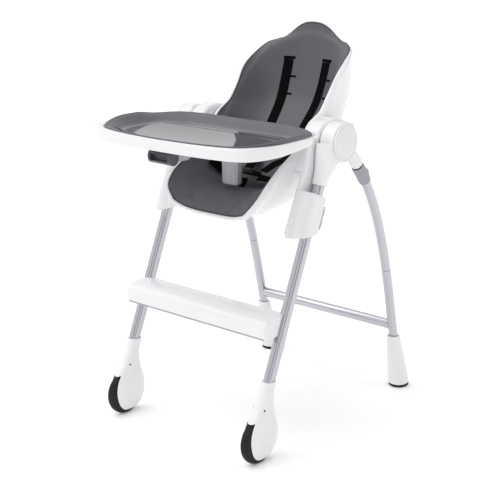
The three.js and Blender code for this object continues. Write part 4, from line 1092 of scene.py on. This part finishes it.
def rim_height(x, y):
    side = step_up(np.abs(x), 150, 260)
    swell = step_up(y, -400, -270) * (1 - step_up(y, -235, -165))
    return TRAY_TOP + 1.3 + 8 * side * swell + 3.5 * step_up(y, -160, -125)


def band_bottom(y):
    return TRAY_BOTTOM + 12 * np.clip((y + 300) / 190, 0, 1)


def tray_frame():
    """The white underframe with its deep rounded band, and the two tongues that slide in the armrests."""
    floor = TRAY_BOTTOM + 12
    top = TRAY_TOP
    underside = floor - 2.5

    def under(lift):
        return lambda x, y: band_bottom(y) + lift

    rings = [tray_ring(40, underside, False),
             tray_ring(16, lambda x, y: np.minimum(band_bottom(y) + 6, underside), False)]
    rings += [tray_ring(inset, under(lift), False)
              for inset, lift in ((7, 1.4), (4, 0.3), (2, 0.8), (0.6, 2.2), (0, 5))]
    rings += [tray_ring(inset, top - drop, False) for inset, drop in ((0, 5), (0.4, 2.4), (1.4, 0.8), (3, 0.1))]
    rings += [
        tray_ring(TRAY_RIM, top), tray_ring(TRAY_RIM + 1, top - 0.4), tray_ring(TRAY_RIM + 6, top - 8),
        tray_ring(TRAY_RIM + 30, floor),
    ]
    deck = loft("tray_underframe", rings)
    tongues = []
    for side in (-1, 1):
        section = rounded([(184, 786, 2), (206, 786, 2), (206, 800, 2), (184, 800, 2)], 5)
        rings = []
        for y, share in ((-128, 1), (33, 1), (36, 0.9)):
            x = side * (TONGUE_X + (section[:, 0] - TONGUE_X) * share)
            rings.append(np.stack([x, np.full(len(x), y), TONGUE_Z + (section[:, 1] - TONGUE_Z) * share], 1))
        tongues.append(loft("tongue", rings))
    whole = joined("tray_underframe_body", [deck] + tongues)
    soften(whole)
    return whole


def tray_insert():
    """The glossy lift-out tray: a rolled rim that swells at the sides, steep walls and a flat floor."""
    wall, floor, rim, top = 2.5, TRAY_BOTTOM + 15, TRAY_RIM, TRAY_TOP

    def lifted(extra):
        return lambda x, y: rim_height(x, y) + extra

    def shoulder(share, drop):
        return lambda x, y: top - drop + (rim_height(x, y) - top) * share

    rings = [
        tray_ring(rim + 46, floor - wall), tray_ring(rim + 34, floor - wall + 0.6), tray_ring(rim + 9, top - 4),
        tray_ring(rim + 3.5, top + 0.3), tray_ring(rim - 1.6, top + 0.35), tray_ring(rim - 2.2, top + 0.8),
        tray_ring(rim - 2.4, lifted(0.2)), tray_ring(rim - 1.6, lifted(1.0)), tray_ring(rim - 0.2, lifted(1.5)),
        tray_ring(rim + 1.2, lifted(1.6)), tray_ring(rim + 2.8, lifted(1.0)), tray_ring(rim + 4.6, lifted(-0.4)),
        tray_ring(rim + 10, shoulder(0.85, 0.6)), tray_ring(rim + 16, shoulder(0.65, 2.2)),
        tray_ring(rim + 24, shoulder(0.4, 4.6)), tray_ring(rim + 33, shoulder(0.16, 8.4)),
        tray_ring(rim + 42, lambda x, y: np.full(len(x), floor + 2.6)), tray_ring(rim + 49, floor + 0.7),
        tray_ring(rim + 57, floor),
    ]
    return loft("tray_lift_out", rings, sharp=60)


def crotch_post():
    """The post between the child's legs, with upright ribs on its front and back."""
    count = 192
    section = oval(POST_HALF_WIDTH, POST_HALF_DEPTH, count, 4)
    ribs = 1 - 0.16 * (0.5 + 0.5 * np.cos(section[:, 0] / POST_HALF_WIDTH * math.pi * 5.0)) ** 3
    rings = []
    for z, scale in ((652.4, 0.86), (653.6, 0.92), (656, 0.96), (660, 0.98), (700, 1.01), (752, 1.045),
                     (786, 1.06)):
        u = section[:, 0] * scale
        v = section[:, 1] * scale * ribs
        rings.append(np.stack([u, POST_Y + v, np.full(count, z)], 1))
    return loft("crotch_post_ribbed", rings, sharp=60)


def lever_block():
    outline = rounded([(-388.5, 780.2, 1), (-330, 780.2, 1), (-330, 766, 6), (-352, 750.5, 8),
                       (-388.5, 750.5, 6)], 8)
    return slab("tray_catch_block", outline, -30, 30, 4)


def tray_lever():
    """The squeeze lever under the front of the tray: a dark hollow grip."""
    outline = rounded([(-426, 779, 5), (-398.2, 779, 2), (-398.2, 752, 5), (-412, 744.3, 6), (-428, 750, 8),
                       (-431.8, 767, 10)], 8)
    body = slab("tray_squeeze_lever", outline, -37, 37, 1.5)
    opening = rounded([(-440, 772, 3), (-420, 772, 3), (-417, 757, 4), (-440, 754, 3)], 6)
    recess = slab("recess", opening, -29, 29, 0.6)
    return carved(body, [recess], 30)


# ---------------------------------------------------------------- the chair

pair(front_leg(), "front_frame", "silver_tube", satin_tube, "front_leg")
pair(hub_housing(), "front_frame", "white_plastic", gloss_white, "hub_housing")
pair(hub_cap(), "front_frame", "light_grey_plastic", satin_cap, "hub_cap")
pair(castor_housing(), "front_frame", "white_plastic", gloss_white, "castor_housing")
pair(castor_screw(), "front_frame", "steel", buckle_black, "castor_screw")
pair(tyre(), "castor_wheel", "tyre_rubber", tyre_rubber, "castor_tyre")
pair(wheel(), "castor_wheel", "light_grey_plastic", satin_cap, "castor_wheel")

bar, tread = footrest()
leg_room = leg_bore(0.6, 280, 400)
bar.name = "footrest_bar"
piece(carved(bar, [twin(leg_room, "leg_room_left"), leg_room] + tread, 30), "front_frame", "white_plastic",
      gloss_white, "footrest")

# The grey strip under the footrest's front edge is painted shade.
piece(footrest_underside_shade(), "front_frame", "mid_grey_plastic", post_grey)

pair(rear_socket(), "rear_frame", "white_plastic", gloss_white, "rear_socket")
pair(fold_collar(), "rear_frame", "mid_grey_plastic", collar_grey, "fold_collar")
BUTTON_PROFILE = [(8, 16.4), (8, 20.3), (7.4, 21.2), (6, 21.6), (2, 21.7)]
pair(knob("fold_button_cap_right", COLLAR_BUTTON_AT, BUTTON_PROFILE), "fold_button", "mid_grey_plastic",
     collar_grey, "fold_button")
upper, lower = rear_leg_tubes()
pair(upper, "rear_frame", "silver_tube", satin_tube, "rear_leg_upper")
pair(lower, "rear_frame", "silver_tube", satin_tube, "rear_leg_lower")
piece(crossbar(), "rear_frame", "silver_tube", satin_tube, "rear_crossbar")
pair(knob("rear_leg_snap_dot_right", STUD_AT, [(3, 11.2), (3, 13.6), (2.2, 14.2), (0.6, 14.4)], 24),
     "rear_frame", "black_plastic", buckle_black, "rear_leg_stud")
pair(rear_boot(), "rear_frame", "white_plastic", gloss_white, "rear_foot")
pair(rear_sole(), "rear_frame", "tyre_rubber", sole_rubber, "rear_sole")

pair(carriage(), "carriage", "white_plastic", gloss_white, "height_carriage")
pair(trigger(), "height_trigger", "light_grey_plastic", satin_cap, "height_trigger")

piece(shell_body(), "seat", "white_plastic", gloss_white, "seat_shell")
pad = seat_pad()
# Thin dark sheets over the strap slots, lying just above the liner: painted shade of the openings.
for side, strap_x in (("right", 65), ("left", -65)):
    for name, row_from, row_to, start, end in (
            ("top", 2.38, 2.58, -16, 20), ("middle", 3.58, 3.70, 15, 33), ("low", 4.62, 4.74, 15, 33)):
        slot_shade_piece = patch(pad, f"liner_slot_{name}_{side}", row_from, row_to, strap_x + start, strap_x + end)
        piece(slot_shade_piece, "seat", "black_plastic", slot_dark)
piece(pad, "seat", "pad_cover", pad_leather, "seat_pad")
piece(piping(), "seat", "pad_cover", piping_leather)
shoulder, waist, crotch = straps()
pair(shoulder, "seat", "webbing", black_webbing, "shoulder_strap")
pair(waist, "seat", "webbing", black_webbing, "waist_strap")
piece(crotch, "seat", "webbing", black_webbing, "crotch_strap")
piece(tilt_to_buckle(buckle()), "seat", "black_plastic", buckle_black, "harness_buckle")
piece(tilt_to_buckle(buckle_button()), "buckle_button", "light_grey_plastic", lever_grey, "buckle_button")

piece(tray_frame(), "tray", "white_plastic", gloss_white, "tray_frame")
piece(tray_insert(), "tray_insert", "tray_grey_plastic", tray_grey, "tray_insert")
piece(crotch_post(), "tray", "post_grey_plastic", post_grey, "crotch_post")
piece(lever_block(), "tray", "post_grey_plastic", post_grey, "tray_lever_block")
piece(tray_lever(), "tray_lever", "lever_grey_plastic", lever_grey, "tray_lever")

KEPT_CAD = {"hub_pin": plain_steel, "castor_axle": plain_steel, "seat_pivot_pin": gloss_white,
            "seat_tub": gloss_white}
for node, obj in frame["nodes"].items():
    material = KEPT_CAD.get(node.removesuffix("_right").removesuffix("_left"))
    if material:
        obj.data.materials.clear()
        obj.data.materials.append(material)


# ---------------------------------------------------------------- stage

floor_mesh = bpy.data.meshes.new("studio_floor")
floor_mesh.from_pydata([(-80, -80, 0), (80, -80, 0), (80, 80, 0), (-80, 80, 0)], [], [(0, 1, 2, 3)])
studio_floor = placed("studio_floor", floor_mesh)
floor_mesh.materials.append(surface("floor_white", (0.95, 0.95, 0.95), 0.9, vary=0.002, Specular_IOR_Level=0.1,
                                    Emission_Color=(1, 1, 1, 1), Emission_Strength=0.12))


def studio_world():
    """Soft light whose brightness changes along X, so that the tubes get bright and dark sides."""
    world = bpy.data.worlds.new("studio")
    world.use_nodes = True
    nodes, links = world.node_tree.nodes, world.node_tree.links
    place = nodes.new("ShaderNodeTexCoord")
    split = nodes.new("ShaderNodeSeparateXYZ")
    ramp = nodes.new("ShaderNodeValToRGB")
    shades = [(0.0, 0.92), (0.30, 0.70), (0.50, 0.42), (0.66, 0.48), (0.74, 1.0), (0.84, 1.0), (0.92, 0.35),
              (1.0, 0.5)]
    while len(ramp.color_ramp.elements) < len(shades):
        ramp.color_ramp.elements.new(0.5)
    for stop, (at, shade) in zip(ramp.color_ramp.elements, shades):
        stop.position = at
        stop.color = (shade, shade, shade * 1.01, 1)
    spread = nodes.new("ShaderNodeMapRange")
    spread.inputs["From Min"].default_value = -1
    links.new(place.outputs["Generated"], split.inputs["Vector"])
    links.new(split.outputs["X"], spread.inputs["Value"])
    links.new(spread.outputs["Result"], ramp.inputs["Fac"])
    links.new(ramp.outputs["Color"], nodes["Background"].inputs["Color"])
    nodes["Background"].inputs["Strength"].default_value = 1.19
    return world


bpy.context.scene.world = studio_world()
bpy.context.scene.view_settings.view_transform = "Standard"

sun = bpy.data.lights.new("key", "SUN")
sun.energy = 1.25
sun.angle = math.radians(60)
key = placed("key", sun)
key.rotation_euler = (-Vector((-0.55, -0.75, 1.9))).to_track_quat("-Z", "Y").to_euler()

camera_data = bpy.data.cameras.new("photo_view")
camera_data.lens = 80.55
camera_data.sensor_width = 36
camera = placed("photo_view", camera_data)
camera.location = (1.8633, -2.2669, 1.308)
camera.rotation_euler = (Vector((0, -0.03537, 0.4558)) - camera.location).to_track_quat("-Z", "Y").to_euler()
bpy.context.scene.camera = camera
